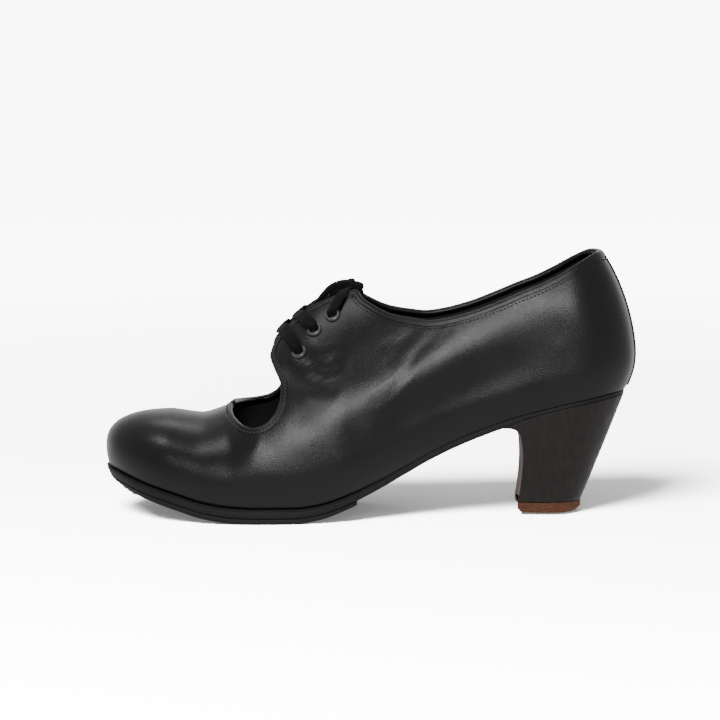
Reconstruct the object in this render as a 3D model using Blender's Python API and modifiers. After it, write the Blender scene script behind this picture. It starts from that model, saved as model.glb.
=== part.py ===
# Left flamenco shoe with lacing tabs and a cut-out vamp, for Blender 4.5.
# Metres, +Z up. The toe points to -X, the heel to +X, the outer side of the foot is -Y.
# The origin lies on the floor, in the middle of the shoe's length and width.

import math

import bmesh
import bpy
from mathutils import Matrix, Vector

# Overall sizes
LENGTH = 0.240
BALL_WIDTH = 0.087
TOE_SPRING = 0.0165
HEEL_LIFT = 0.0500
TOE_DEPTH = 0.0325
INSTEP_DEPTH = 0.0915
COUNTER_DEPTH = 0.0630

# Walls and layers
UPPER_WALL = 0.0020
BINDING_RISE = 0.0006
BINDING_WIDTH = 0.0028
BACK_STRIP_WIDTH = 0.0090
INSOLE_THICK = 0.0025
OUTSOLE_THICK = 0.0042
HALF_SOLE_THICK = 0.0023
HALF_SOLE_STEP = 0.0016
SOLE_EDGE = 0.0012
TOE_BEVEL = 0.0045
LAYER_BEVEL = 0.35
HALF_SOLE_END = 0.476
HALF_SOLE_FEATHER = 0.030
SEAM_GAP = 0.0003

# Heel
HEEL_TIP_THICK = 0.0044
HEEL_TIP_CHAMFER = 0.0018
HEEL_TIP_LEVELS = ((0.0, 1.0), (0.4, 0.0), (1.0, 0.0))
HEEL_TIP_LENGTH = 0.0292
HEEL_TIP_WIDTH = 0.0285
HEEL_TOP_INSET = 0.0006
HEEL_TIP_FRONT = 0.0662
BREAST_FLARE = 0.0078
BREAST_CURVE = 12.5
BREAST_BOW = 0.0020
BREAST_HOLLOW = 0.0020
BREAST_WIDTH_SHARE = 0.90
HEEL_WIDEST_SHARE = 0.48
HEEL_FLARE_CURVE = 1.25
HEEL_LEVELS = (0.0, 0.15, 0.30, 0.45, 0.60, 0.72, 0.82, 0.90, 0.955, 1.0)

# Nails
NAIL_HEAD_RADIUS = 0.0014
NAIL_HEAD_THICK = 0.0007
NAIL_SHANK_RADIUS = 0.0006
NAIL_SHANK_LENGTH = 0.0018
NAIL_PROUD = NAIL_HEAD_THICK + SEAM_GAP
NAIL_PITCH = 0.0046
NAIL_INSET = 0.0030
NAIL_SIDES = 6
TOE_NAIL_TURN = 36.0

# Lacing
THROAT_GAP = 0.0160
EYELET_RADIUS = 0.0035
EYELET_HOLE = 0.0021
EYELET_WALL = 0.0005
EYELET_RISE = 0.0007
EYELET_ROUND = 0.0002
EYELET_SAG = 0.0003
LACE_WIDTH = 0.0060
LACE_THICK = 0.0012
LACE_FLAT = 0.52
LACE_BEND = 12
LACE_LIFT_START = 0.55
LACE_LIFT_END = 0.80
KNOT_LENGTH = 0.0180
KNOT_WIDTH = 0.0100
KNOT_HEIGHT = 0.0075

# Where the rounded ends of the last begin, and a place past the heel, as shares of the length
TOE_AXIS = 0.125
HEEL_AXIS = 0.867
PAST_HEEL = 1.1
TREAD = OUTSOLE_THICK + HALF_SOLE_THICK + 2 * SEAM_GAP

# A level above the whole shoe, which the cutters reach, and how far they reach past each other
ABOVE = 2 * INSTEP_DEPTH + HEEL_LIFT
CUT_OVERLAP = 0.0005

# Distance between two places that a slope is read from
PROBE = 0.0005

# The back strip stands out behind the last, so the last is that much shorter than the shoe
LAST_LENGTH = LENGTH - BINDING_RISE

# Bottom of the last: how far each place is lifted, as shares of TOE_SPRING and HEEL_LIFT
BOTTOM_LINE = [
    # along, toe, heel
    (0.000, 0.930, 0.000),
    (0.026, 0.850, 0.000),
    (0.055, 0.720, 0.000),
    (0.085, 0.585, 0.000),
    (0.115, 0.454, 0.000),
    (0.149, 0.305, 0.000),
    (0.187, 0.145, 0.000),
    (0.242, 0.028, 0.000),
    (0.291, 0.000, 0.000),
    (0.361, 0.000, 0.000),
    (0.406, 0.000, 0.026),
    (0.463, 0.000, 0.113),
    (0.509, 0.000, 0.214),
    (0.555, 0.000, 0.330),
    (0.620, 0.000, 0.500),
    (0.669, 0.000, 0.610),
    (0.706, 0.000, 0.682),
    (0.763, 0.000, 0.778),
    (0.812, 0.000, 0.840),
    (0.871, 0.000, 0.910),
    (0.912, 0.000, 0.950),
    (0.958, 0.000, 0.985),
    (1.000, 0.000, 1.000),
]

# Sections of the last. Half widths are shares of BALL_WIDTH, and tuck is the width at the
# feather line as a share of the full width. Rise runs from TOE_DEPTH to INSTEP_DEPTH.
SECTIONS = [
    # along, lateral, medial, tuck, belly, rise, lateral fullness, medial fullness
    (0.125, 0.428, 0.440, 0.930, 0.270, 0.000, 2.25, 2.25),
    (0.180, 0.462, 0.480, 0.930, 0.270, 0.040, 2.15, 2.15),
    (0.217, 0.480, 0.496, 0.930, 0.260, 0.110, 2.05, 2.07),
    (0.242, 0.489, 0.500, 0.928, 0.250, 0.170, 1.98, 2.02),
    (0.267, 0.496, 0.499, 0.925, 0.240, 0.340, 1.88, 1.94),
    (0.288, 0.499, 0.496, 0.922, 0.230, 0.520, 1.80, 1.88),
    (0.310, 0.500, 0.489, 0.918, 0.210, 0.640, 1.73, 1.83),
    (0.338, 0.499, 0.477, 0.912, 0.190, 0.778, 1.67, 1.80),
    (0.367, 0.494, 0.462, 0.905, 0.180, 0.885, 1.63, 1.79),
    (0.396, 0.486, 0.446, 0.895, 0.180, 0.968, 1.60, 1.78),
    (0.423, 0.476, 0.430, 0.885, 0.180, 1.000, 1.59, 1.77),
    (0.450, 0.464, 0.414, 0.872, 0.180, 1.010, 1.59, 1.75),
    (0.492, 0.440, 0.388, 0.850, 0.185, 1.000, 1.62, 1.75),
    (0.583, 0.388, 0.342, 0.820, 0.190, 0.970, 1.75, 1.82),
    (0.708, 0.352, 0.328, 0.850, 0.190, 0.905, 2.00, 2.02),
    (0.800, 0.342, 0.330, 0.890, 0.190, 0.850, 2.15, 2.15),
    (0.867, 0.336, 0.330, 0.920, 0.190, 0.775, 2.30, 2.30),
]
TOE_POINT_FULLNESS = 2.55
TOE_POINT_BELLY = 0.250
TOE_POINT_TUCK = 0.955
TOE_ROUND = 2.15
HEEL_POINT_FULLNESS = 1.67
HEEL_POINT_BELLY = 0.195
HEEL_POINT_TUCK = 0.870
HEEL_ROUND = 2.10

# Top edge of the collar, above the feather line, as shares of COUNTER_DEPTH
COLLAR_LINE = [
    # along, height
    (0.440, 1.700),
    (0.470, 1.445),
    (0.482, 1.335),
    (0.500, 1.255),
    (0.535, 1.125),
    (0.573, 1.018),
    (0.615, 0.915),
    (0.669, 0.858),
    (0.706, 0.845),
    (0.744, 0.850),
    (0.782, 0.868),
    (0.820, 0.888),
    (0.857, 0.924),
    (0.895, 0.975),
    (0.920, 1.003),
    (0.940, 0.990),
    (0.960, 0.965),
    (1.020, 0.900),
]

# Edge of the cut-out and of the tab above it, seen from the side. Heights are above the
# feather line at the throat, as shares of INSTEP_DEPTH.
CUTOUT_FRONT = 0.240
LATERAL_EDGE = [
    # along, height
    (0.2450, 0.640),
    (0.2440, 0.530),
    (0.2415, 0.488),
    (0.2370, 0.452),
    (0.2400, 0.430),
    (0.2500, 0.408),
    (0.2640, 0.388),
    (0.2790, 0.380),
    (0.2930, 0.383),
    (0.3090, 0.402),
    (0.3250, 0.445),
    (0.3330, 0.490),
    (0.3370, 0.545),
    (0.3350, 0.600),
    (0.3240, 0.655),
    (0.3150, 0.705),
    (0.3105, 0.750),
    (0.3110, 0.790),
    (0.3170, 0.835),
    (0.3270, 0.895),
    (0.3400, 0.990),
]
MEDIAL_EDGE = [
    # along, height
    (0.2454, 0.640),
    (0.2443, 0.530),
    (0.2419, 0.488),
    (0.2400, 0.470),
    (0.2470, 0.452),
    (0.2580, 0.443),
    (0.2720, 0.438),
    (0.2880, 0.440),
    (0.3040, 0.450),
    (0.3180, 0.472),
    (0.3270, 0.500),
    (0.3290, 0.545),
    (0.3275, 0.610),
    (0.3240, 0.668),
    (0.3170, 0.730),
    (0.3130, 0.768),
    (0.3140, 0.800),
    (0.3190, 0.840),
    (0.3270, 0.895),
    (0.3400, 0.990),
]

# Gap between the tabs, seen from above: half its width past THROAT_GAP / 2, as shares of it
THROAT_EDGE = [
    # along, flare
    (0.262, 1.300),
    (0.312, 0.950),
    (0.318, 0.560),
    (0.326, 0.300),
    (0.337, 0.120),
    (0.352, 0.020),
    (0.365, 0.000),
    (0.470, 0.060),
    (0.505, 0.500),
]

# Thickness of the outsole, how far its edge stands out and how far both layers are cut back
# under the toe, as shares of OUTSOLE_THICK, SOLE_EDGE and TOE_BEVEL
SOLE_LAYERS = [
    # along, thickness, edge, bevel
    (0.000, 1.000, 1.000, 1.000),
    (0.030, 1.000, 1.000, 0.850),
    (0.080, 1.000, 1.000, 0.400),
    (0.150, 1.000, 1.000, 0.100),
    (0.300, 1.000, 1.000, 0.000),
    (0.476, 0.950, 0.600, 0.000),
    (0.600, 0.900, 0.000, 0.000),
    (0.745, 0.860, -0.400, 0.000),
    (0.800, 0.480, -0.500, 0.000),
    (1.000, 0.450, -0.500, 0.000),
]

# Eyelets, three on each tab: place along the foot and across it
EYELETS = [
    # along, across (share of BALL_WIDTH)
    (0.368, 0.266),
    (0.396, 0.214),
    (0.430, 0.182),
]
LACE_BARS = [
    # eyelet row, reach along the foot at the ridge
    (0, -0.032),
    (1, -0.030),
]
KNOT_ROW = len(EYELETS) - 1
KNOT_REACH = 0.028

# Mesh density
TOE_COLUMNS = 14
HEEL_COLUMNS = 14
BODY_COLUMNS = 30
LOWER_ROWS = 3
UPPER_ROWS = 10
COLLAR_STEPS = 44
HOLE_SIDES = 16
EYELET_SIDES = 14
LACE_STEPS = 14
TOP_LACE_STEPS = 6
KNOT_SIDES = 20

# Colours, roughness and metallic values
FINISHES = {
    "leather": ((0.027, 0.027, 0.028), 0.38, 0.0),
    "lining": ((0.015, 0.014, 0.013), 0.80, 0.0),
    "sole": ((0.024, 0.024, 0.024), 0.70, 0.0),
    "wood": ((0.030, 0.020, 0.016), 0.45, 0.0),
    "tip": ((0.250, 0.085, 0.030), 0.60, 0.0),
    "nail": ((0.550, 0.550, 0.560), 0.35, 1.0),
    "eyelet": ((0.020, 0.020, 0.021), 0.30, 0.6),
    "lace": ((0.022, 0.024, 0.023), 0.90, 0.0),
}


def clear_scene():
    for old in list(bpy.data.objects):
        bpy.data.objects.remove(old, do_unlink=True)


def new_collection(name):
    made = bpy.data.collections.new(name)
    bpy.context.scene.collection.children.link(made)
    return made


def material(name):
    colour, roughness, metallic = FINISHES[name]
    made = bpy.data.materials.new(name)
    made.use_nodes = True
    shader = made.node_tree.nodes["Principled BSDF"]
    shader.inputs["Base Color"].default_value = (*colour, 1.0)
    shader.inputs["Roughness"].default_value = roughness
    shader.inputs["Metallic"].default_value = metallic
    return made


# Smooth reading of a table: the column's value at a place along the foot
def follow(table, along, column):
    places = [row[0] for row in table]
    values = [row[column] for row in table]
    if along <= places[0]:
        return values[0]
    if along >= places[-1]:
        return values[-1]
    k = max(i for i in range(len(places) - 1) if places[i] <= along)
    slopes = [(values[i + 1] - values[i]) / (places[i + 1] - places[i]) for i in range(len(places) - 1)]

    def tangent(i):
        if i == 0:
            return slopes[0]
        if i == len(places) - 1:
            return slopes[-1]
        if slopes[i - 1] * slopes[i] <= 0.0:
            return 0.0
        return 2.0 * slopes[i - 1] * slopes[i] / (slopes[i - 1] + slopes[i])

    span = places[k + 1] - places[k]
    t = (along - places[k]) / span
    h00 = 2 * t**3 - 3 * t**2 + 1
    h10 = t**3 - 2 * t**2 + t
    h01 = -2 * t**3 + 3 * t**2
    h11 = t**3 - t**2
    return h00 * values[k] + h10 * span * tangent(k) + h01 * values[k + 1] + h11 * span * tangent(k + 1)


def x_at(along):
    return along * LAST_LENGTH - LENGTH / 2


def along_at(x):
    return (x + LENGTH / 2) / LAST_LENGTH


# Height of the feather line, where the upper meets the sole
def feather(x):
    along = along_at(x)
    toe = follow(BOTTOM_LINE, along, 1) * TOE_SPRING
    heel = follow(BOTTOM_LINE, along, 2) * HEEL_LIFT
    return TREAD + toe + heel


def depth_at(along):
    rise = follow(SECTIONS, along, 5)
    return TOE_DEPTH + rise * (INSTEP_DEPTH - TOE_DEPTH)


# A column is one upright profile of the last: where it starts, which way it faces, and the
# reach, tuck, belly height, top height and fullness of its outline.
def body_column(along, side):
    x = x_at(along)
    base = feather(x)
    width = follow(SECTIONS, along, 1 if side < 0 else 2) * BALL_WIDTH
    depth = depth_at(along)
    return {
        "centre": Vector((x, 0.0)),
        "facing": Vector((0.0, float(side))),
        "reach": width,
        "tuck": follow(SECTIONS, along, 3),
        "belly": base + follow(SECTIONS, along, 4) * depth,
        "top": base + depth,
        "fullness": follow(SECTIONS, along, 6 if side < 0 else 7),
    }


# A column of the rounded toe or heel, turned about the end axis. Turn runs from 0 at the
# lateral side through a quarter turn at the tip to half a turn at the medial side.
def end_column(turn, axis, tip, roundness, point_values):
    side = -1 if turn <= math.pi / 2 else 1
    flank = body_column(axis, side)
    along_x = math.sin(turn)
    across = abs(math.cos(turn))
    length = abs(x_at(tip) - x_at(axis))
    reach = ((along_x / length) ** roundness + (across / flank["reach"]) ** roundness) ** (-1 / roundness)
    heading = -1.0 if tip < axis else 1.0
    inward = along_at(x_at(axis) - heading * PROBE)
    widening = body_column(inward, side)["reach"] - flank["reach"]
    reach *= 1.0 - widening / PROBE * along_x * across**2
    blend = along_x**2
    facing = Vector((heading * along_x, -math.cos(turn)))
    tuck = flank["tuck"] + blend * (point_values["tuck"] - flank["tuck"])
    foot_x = flank["centre"].x + facing.x * reach * tuck
    belly_share = follow(SECTIONS, axis, 4)
    belly_share += blend * (point_values["belly"] - belly_share)
    return {
        "centre": flank["centre"],
        "facing": facing,
        "reach": reach,
        "tuck": tuck,
        "belly": feather(foot_x) + belly_share * depth_at(axis),
        "top": flank["top"],
        "fullness": flank["fullness"] + blend * (point_values["fullness"] - flank["fullness"]),
    }


TOE_POINT = {"tuck": TOE_POINT_TUCK, "belly": TOE_POINT_BELLY, "fullness": TOE_POINT_FULLNESS}
HEEL_POINT = {"tuck": HEEL_POINT_TUCK, "belly": HEEL_POINT_BELLY, "fullness": HEEL_POINT_FULLNESS}


def toe_column(turn):
    return end_column(turn, TOE_AXIS, 0.0, TOE_ROUND, TOE_POINT)


def heel_column(turn):
    return end_column(turn, HEEL_AXIS, 1.0, HEEL_ROUND, HEEL_POINT)


# All columns in order round the foot, and whether each one closes at a pole
def columns():
    steps = [TOE_AXIS + (HEEL_AXIS - TOE_AXIS) * i / BODY_COLUMNS for i in range(BODY_COLUMNS + 1)]
    ring = [body_column(a, -1) for a in steps]
    ring += [heel_column(math.pi * i / HEEL_COLUMNS) for i in range(1, HEEL_COLUMNS)]
    ring += [body_column(a, 1) for a in reversed(steps)]
    ring += [toe_column(math.pi * (1 - i / TOE_COLUMNS)) for i in range(1, TOE_COLUMNS)]
    return ring


# A point on a column, from the feather line (row 0) to the ridge (last row)
def column_point(column, row, grow):
    reach = column["reach"] + grow
    foot = feather(column["centre"].x + column["facing"].x * reach * column["tuck"])
    if row < LOWER_ROWS:
        drop = 1.0 - row / LOWER_ROWS
        out = reach - column["reach"] * (1.0 - column["tuck"]) * drop**2
        height = column["belly"] - (column["belly"] - foot) * drop
    else:
        angle = (row - LOWER_ROWS) / UPPER_ROWS * math.pi / 2
        power = 2.0 / column["fullness"]
        out = reach * max(math.cos(angle), 0.0) ** power
        if row == LOWER_ROWS + UPPER_ROWS:
            out = 0.0
        height = column["belly"] + (column["top"] + grow - column["belly"]) * math.sin(angle) ** power
    place = column["centre"] + column["facing"] * out
    return Vector((place.x, place.y, height))


def mesh_object(name, points, faces, collection, finish=None):
    mesh = bpy.data.meshes.new(name)
    mesh.from_pydata([tuple(p) for p in points], [], faces)
    shape = bmesh.new()
    shape.from_mesh(mesh)
    bmesh.ops.remove_doubles(shape, verts=shape.verts, dist=1e-6)
    bmesh.ops.recalc_face_normals(shape, faces=shape.faces)
    shape.to_mesh(mesh)
    shape.free()
    made = bpy.data.objects.new(name, mesh)
    collection.objects.link(made)
    if finish:
        mesh.materials.append(finish)
    return made


def as_cutter(tool):
    tool.hide_render = True
    tool.display_type = "WIRE"
    return tool


# The closed wall between two offsets of the last, open underneath
def last_wall(name, outer, inner, collection, finish=None):
    ring = columns()
    rows = LOWER_ROWS + UPPER_ROWS
    points = []
    faces = []
    for grow in (outer, inner):
        for column in ring:
            points += [column_point(column, row, grow) for row in range(rows + 1)]
    stride = rows + 1
    shift = len(ring) * stride
    for i in range(len(ring)):
        j = (i + 1) % len(ring)
        for row in range(rows):
            a = i * stride + row
            b = j * stride + row
            faces.append((a, b, b + 1, a + 1))
            faces.append((a + shift, a + 1 + shift, b + 1 + shift, b + shift))
        faces.append((i * stride, i * stride + shift, j * stride + shift, j * stride))
    return mesh_object(name, points, faces, collection, finish)


# Outline pushed outwards or inwards along its own normals
def grown(outline, distance):
    moved = []
    for i, (x, z) in enumerate(outline):
        before = outline[max(i - 1, 0)]
        after = outline[min(i + 1, len(outline) - 1)]
        dx = after[0] - before[0]
        dz = after[1] - before[1]
        size = math.hypot(dx, dz)
        moved.append((x + dz / size * distance, z - dx / size * distance))
    return moved


# A prism: a closed outline in the XZ or XY plane pushed from one level to another
def prism(name, outline, plane, low, high, collection):
    count = len(outline)
    points = []
    for level in (low, high):
        for a, b in outline:
            points.append((a, level, b) if plane == "XZ" else (a, b, level))
    faces = [tuple(range(count)), tuple(reversed(range(count, 2 * count)))]
    for i in range(count):
        j = (i + 1) % count
        faces.append((i, i + count, j + count, j))
    return as_cutter(mesh_object(name, points, faces, collection))


def boolean(target, tool, operation):
    step = target.modifiers.new(tool.name, "BOOLEAN")
    step.operation = operation
    step.solver = "EXACT"
    step.object = tool


# Turns an object and its modifiers into a plain mesh, so that it can be joined again
def settle(target):
    evaluated = target.evaluated_get(bpy.context.evaluated_depsgraph_get())
    mesh = bpy.data.meshes.new_from_object(evaluated)
    target.modifiers.clear()
    old = target.data
    target.data = mesh
    bpy.data.meshes.remove(old)


# Side outline of the collar cut, grown downwards by the binding's width when asked
def collar_outline(distance):
    edge = []
    first = COLLAR_LINE[0][0]
    last = COLLAR_LINE[-1][0]
    for i in range(COLLAR_STEPS + 1):
        along = first + (last - first) * i / COLLAR_STEPS
        x = x_at(along)
        edge.append((x, feather(x) + follow(COLLAR_LINE, along, 1) * COUNTER_DEPTH))
    edge = grown(edge, distance)
    return edge + [(edge[-1][0], ABOVE), (edge[0][0], ABOVE)]


def edge_outline(table, distance):
    base = feather(x_at(CUTOUT_FRONT))
    edge = [(x_at(along), base + height * INSTEP_DEPTH) for along, height in table]
    edge = grown(edge, distance)
    return edge + [(edge[-1][0], ABOVE), (edge[0][0], ABOVE)]


def throat_outline(distance):
    half = THROAT_GAP / 2
    edge = [(x_at(along), half * (1 + flare) + distance) for along, flare in THROAT_EDGE]
    return [(x, -y) for x, y in edge] + list(reversed(edge))


# The three kinds of opening, each slightly larger when it marks out the bound edge
def opening_tools(distance, tag, cutters):
    far = BALL_WIDTH
    low = feather(x_at(CUTOUT_FRONT)) + INSTEP_DEPTH / 3
    return [
        prism("collar_" + tag, collar_outline(distance), "XZ", -far, far, cutters),
        prism("lateral_" + tag, edge_outline(LATERAL_EDGE, distance), "XZ", -far, CUT_OVERLAP, cutters),
        prism("medial_" + tag, edge_outline(MEDIAL_EDGE, distance), "XZ", -CUT_OVERLAP, far, cutters),
        prism("throat_" + tag, throat_outline(distance), "XY", low, ABOVE, cutters),
    ]


# Height of the outer surface at a place on the instep
def instep_point(along, across, grow):
    side = -1 if across < 0 else 1
    column = body_column(along, side)
    reach = column["reach"] + grow
    share = min(abs(across) / reach, 1.0)
    power = column["fullness"]
    height = (1.0 - share**power) ** (1.0 / power)
    top = column["belly"] + (column["top"] + grow - column["belly"]) * height
    return Vector((x_at(along), across, top))


# Direction along the instep at a place, which is the way a crossing lace is wide
def along_instep(along, across):
    here = instep_point(along, across, 0.0)
    ahead = instep_point(along_at(here.x + PROBE), across, 0.0)
    return (ahead - here).normalized()


def instep_normal(along, across):
    beside = instep_point(along, across + PROBE, 0.0) - instep_point(along, across, 0.0)
    return along_instep(along, across).cross(beside).normalized()


def eyelet_frame(row, side):
    along, across = EYELETS[row]
    place = instep_point(along, side * across * BALL_WIDTH, 0.0)
    normal = instep_normal(along, side * across * BALL_WIDTH)
    return Matrix.Translation(place) @ normal.to_track_quat("Z", "Y").to_matrix().to_4x4()


# A round cutter along its frame's Z axis
def round_cutter(name, radius, low, high, frame, sides, cutters):
    shape = bmesh.new()
    bmesh.ops.create_cone(
        shape, cap_ends=True, segments=sides, radius1=radius, radius2=radius, depth=high - low
    )
    bmesh.ops.translate(shape, verts=shape.verts, vec=(0.0, 0.0, (low + high) / 2))
    bmesh.ops.transform(shape, matrix=frame, verts=shape.verts)
    mesh = bpy.data.meshes.new(name)
    shape.to_mesh(mesh)
    shape.free()
    made = bpy.data.objects.new(name, mesh)
    cutters.objects.link(made)
    return as_cutter(made)


def build_upper(parts, cutters, finish):
    upper = last_wall("upper", 0.0, -UPPER_WALL, parts, finish)
    raised = as_cutter(last_wall("raised", BINDING_RISE, -UPPER_WALL / 2, cutters))

    # Marks out the bound edges and the back strip in the raised wall
    marks = opening_tools(BINDING_WIDTH, "binding", cutters)
    half = BACK_STRIP_WIDTH / 2
    back = x_at(HEEL_AXIS) + BALL_WIDTH / 8
    past = x_at(PAST_HEEL)
    strip = prism(
        "back_strip", [(back, -half), (past, -half), (past, half), (back, half)],
        "XY", feather(x_at(1.0)) + UPPER_WALL, ABOVE, cutters,
    )
    for mark in marks[1:] + [strip]:
        boolean(marks[0], mark, "UNION")
    settle(marks[0])
    boolean(raised, marks[0], "INTERSECT")
    settle(raised)
    boolean(upper, raised, "UNION")

    # Cuts the collar, the cut-out, the throat and the eyelet holes
    tools = opening_tools(0.0, "cut", cutters)
    for tool in tools[1:]:
        boolean(tools[0], tool, "UNION")
    settle(tools[0])
    boolean(upper, tools[0], "DIFFERENCE")
    for row in range(len(EYELETS)):
        for side, word in ((-1, "lateral"), (1, "medial")):
            hole = round_cutter(
                f"hole_{word}_{row + 1}", EYELET_HOLE + EYELET_WALL + SEAM_GAP,
                -4 * UPPER_WALL, 4 * UPPER_WALL, eyelet_frame(row, side), HOLE_SIDES, cutters,
            )
            boolean(upper, hole, "DIFFERENCE")
    return upper


# A solid stacked from levels. Each level is a list of lateral and medial points in pairs,
# from the front to the back.
def stacked(name, levels, collection, finish=None):
    count = len(levels[0])
    points = [point for level in levels for pair in level for point in pair]
    faces = []

    def index(level, pair, side):
        return (level * count + pair) * 2 + side

    for pair in range(count - 1):
        for level in (0, len(levels) - 1):
            faces.append((
                index(level, pair, 0), index(level, pair + 1, 0),
                index(level, pair + 1, 1), index(level, pair, 1),
            ))
    for level in range(len(levels) - 1):
        for pair in range(count - 1):
            for side in (0, 1):
                faces.append((
                    index(level, pair, side), index(level, pair + 1, side),
                    index(level + 1, pair + 1, side), index(level + 1, pair, side),
                ))
        for pair in (0, count - 1):
            faces.append((
                index(level, pair, 0), index(level, pair, 1),
                index(level + 1, pair, 1), index(level + 1, pair, 0),
            ))
    return mesh_object(name, points, faces, collection, finish)


# Lateral and medial points of the last's foot outline, toe to heel. The margin beside the
# feather line may change along the foot.
def foot_pairs(margin):
    steps = [TOE_AXIS + (HEEL_AXIS - TOE_AXIS) * i / BODY_COLUMNS for i in range(BODY_COLUMNS + 1)]
    quarter = math.pi / 2
    pairs = []
    toe_half = TOE_COLUMNS // 2
    heel_half = HEEL_COLUMNS // 2
    for i in range(toe_half):
        turn = quarter * (1 - i / toe_half)
        pairs.append((toe_column(turn), toe_column(math.pi - turn)))
    pairs += [(body_column(a, -1), body_column(a, 1)) for a in steps]
    for i in range(1, heel_half + 1):
        turn = quarter * i / heel_half
        pairs.append((heel_column(turn), heel_column(math.pi - turn)))
    outline = []
    for lateral, medial in pairs:
        places = []
        for column in (lateral, medial):
            foot = column["centre"] + column["facing"] * column["reach"] * column["tuck"]
            places.append(foot + column["facing"] * margin(along_at(foot.x)))
        outline.append(places)
    return outline


# A layer of the sole between two outlines and two heights
def plate(name, low_edge, high_edge, bottom, top, collection, finish=None):
    levels = []
    for edge, height in ((low_edge, bottom), (high_edge, top)):
        levels.append([[Vector((p.x, p.y, height(p.x))) for p in pair] for pair in foot_pairs(edge)])
    return stacked(name, levels, collection, finish)


def sole_thickness(x):
    return follow(SOLE_LAYERS, along_at(x), 1) * OUTSOLE_THICK


# Margin of a sole layer beside the feather line, at a share of the bevel under the toe
def sole_margin(bevel):
    def margin(along):
        cut_back = follow(SOLE_LAYERS, along, 3) * TOE_BEVEL * bevel
        return follow(SOLE_LAYERS, along, 2) * SOLE_EDGE - cut_back

    return margin


def outsole_bottom(x):
    return feather(x) - SEAM_GAP - sole_thickness(x)


def build_soles(parts, cutters, finish):
    def inside(along):
        return -UPPER_WALL - 2 * SEAM_GAP

    plate("insole", inside, inside, feather, lambda x: feather(x) + INSOLE_THICK, parts, finish["lining"])
    plate(
        "outsole", sole_margin(LAYER_BEVEL), sole_margin(0.0),
        outsole_bottom, lambda x: feather(x) - SEAM_GAP, parts, finish["sole"],
    )
    end = x_at(HALF_SOLE_END)

    def tread(x):
        thin = min(max((x - end + HALF_SOLE_FEATHER) / HALF_SOLE_FEATHER, 0.0), 1.0)
        return HALF_SOLE_THICK + thin * (HALF_SOLE_STEP - HALF_SOLE_THICK)

    half_sole = plate(
        "half_sole", sole_margin(1.0), sole_margin(LAYER_BEVEL),
        lambda x: outsole_bottom(x) - SEAM_GAP - tread(x), lambda x: outsole_bottom(x) - SEAM_GAP,
        parts, finish["sole"],
    )
    past = x_at(PAST_HEEL)
    behind = [(end, -TREAD), (past, -TREAD), (past, ABOVE), (end, ABOVE)]
    end_cut = prism("half_sole_end", behind, "XZ", -BALL_WIDTH, BALL_WIDTH, cutters)
    boolean(half_sole, end_cut, "DIFFERENCE")
    return half_sole


# Outline of the heel at a share of its height, front to back in pairs
def heel_outline(share):
    top_back = x_at(1.0) - (1 - HEEL_POINT_TUCK) * (x_at(1.0) - x_at(HEEL_AXIS)) - HEEL_TOP_INSET
    tip_back = HEEL_TIP_FRONT + HEEL_TIP_LENGTH
    back = tip_back + (top_back - tip_back) * share
    front = HEEL_TIP_FRONT + BREAST_BOW * math.sin(math.pi * share) - BREAST_FLARE * share**BREAST_CURVE
    flank = body_column(HEEL_AXIS, -1)
    top_half = flank["reach"] * flank["tuck"] - HEEL_TOP_INSET
    half = HEEL_TIP_WIDTH / 2 + (top_half - HEEL_TIP_WIDTH / 2) * share**HEEL_FLARE_CURVE
    middle = front + (back - front) * HEEL_WIDEST_SHARE
    hollow = BREAST_HOLLOW * (1 + share) / 2
    breast_half = BREAST_WIDTH_SHARE * half
    pairs = [(0.0, front + hollow), (breast_half / 2, front + 0.75 * hollow), (breast_half, front)]
    pairs += [((breast_half + 3 * half) / 4, (front + middle) / 2)]
    for i in range(HEEL_COLUMNS // 2 + 1):
        turn = math.pi / 2 * i / (HEEL_COLUMNS // 2)
        power = 2 / HEEL_ROUND
        across = half * max(math.cos(turn), 0.0) ** power
        if i == HEEL_COLUMNS // 2:
            across = 0.0
        pairs.append((across, middle + (back - middle) * math.sin(turn) ** power))
    return [(Vector((x, -y)), Vector((x, y))) for y, x in pairs]


def build_heel(parts, finish):
    floor = NAIL_PROUD + HEEL_TIP_THICK + SEAM_GAP
    levels = []
    for share in HEEL_LEVELS:
        level = []
        for pair in heel_outline(share):
            heights = [floor + (outsole_bottom(p.x) - SEAM_GAP - floor) * share for p in pair]
            level.append([Vector((p.x, p.y, z)) for p, z in zip(pair, heights)])
        levels.append(level)
    stacked("heel", levels, parts, finish["wood"])

    outline = heel_outline(0.0)
    levels = []
    for height, chamfer in HEEL_TIP_LEVELS:
        level = []
        for pair in outline:
            ahead = 1.0 - (pair[0].x - HEEL_TIP_FRONT) / HEEL_TIP_LENGTH * 2.0
            shift = HEEL_TIP_CHAMFER * chamfer * ahead
            z = NAIL_PROUD + HEEL_TIP_THICK * height
            level.append([Vector((p.x + shift, p.y, z)) for p in pair])
        levels.append(level)
    return stacked("heel_tip", levels, parts, finish["tip"])


# Evenly spaced places along an open line
def spaced(line, pitch):
    total = sum((b - a).length for a, b in zip(line, line[1:]))
    count = max(round(total / pitch), 1)
    places = []
    for k in range(count):
        target = (k + 0.5) * total / count
        walked = 0.0
        for a, b in zip(line, line[1:]):
            piece = (b - a).length
            if walked + piece >= target:
                places.append(a.lerp(b, (target - walked) / piece))
                break
            walked += piece
    return places


# A nail with its shank up and its head down
def nail(name, frame, collection, finish):
    profile = [
        (0.0, NAIL_SHANK_LENGTH), (NAIL_SHANK_RADIUS, NAIL_SHANK_LENGTH), (NAIL_SHANK_RADIUS, 0.0),
        (NAIL_HEAD_RADIUS, 0.0), (NAIL_HEAD_RADIUS, -NAIL_HEAD_THICK), (0.0, -NAIL_HEAD_THICK),
    ]
    return turned(name, profile, NAIL_SIDES, frame, collection, finish)


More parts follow.
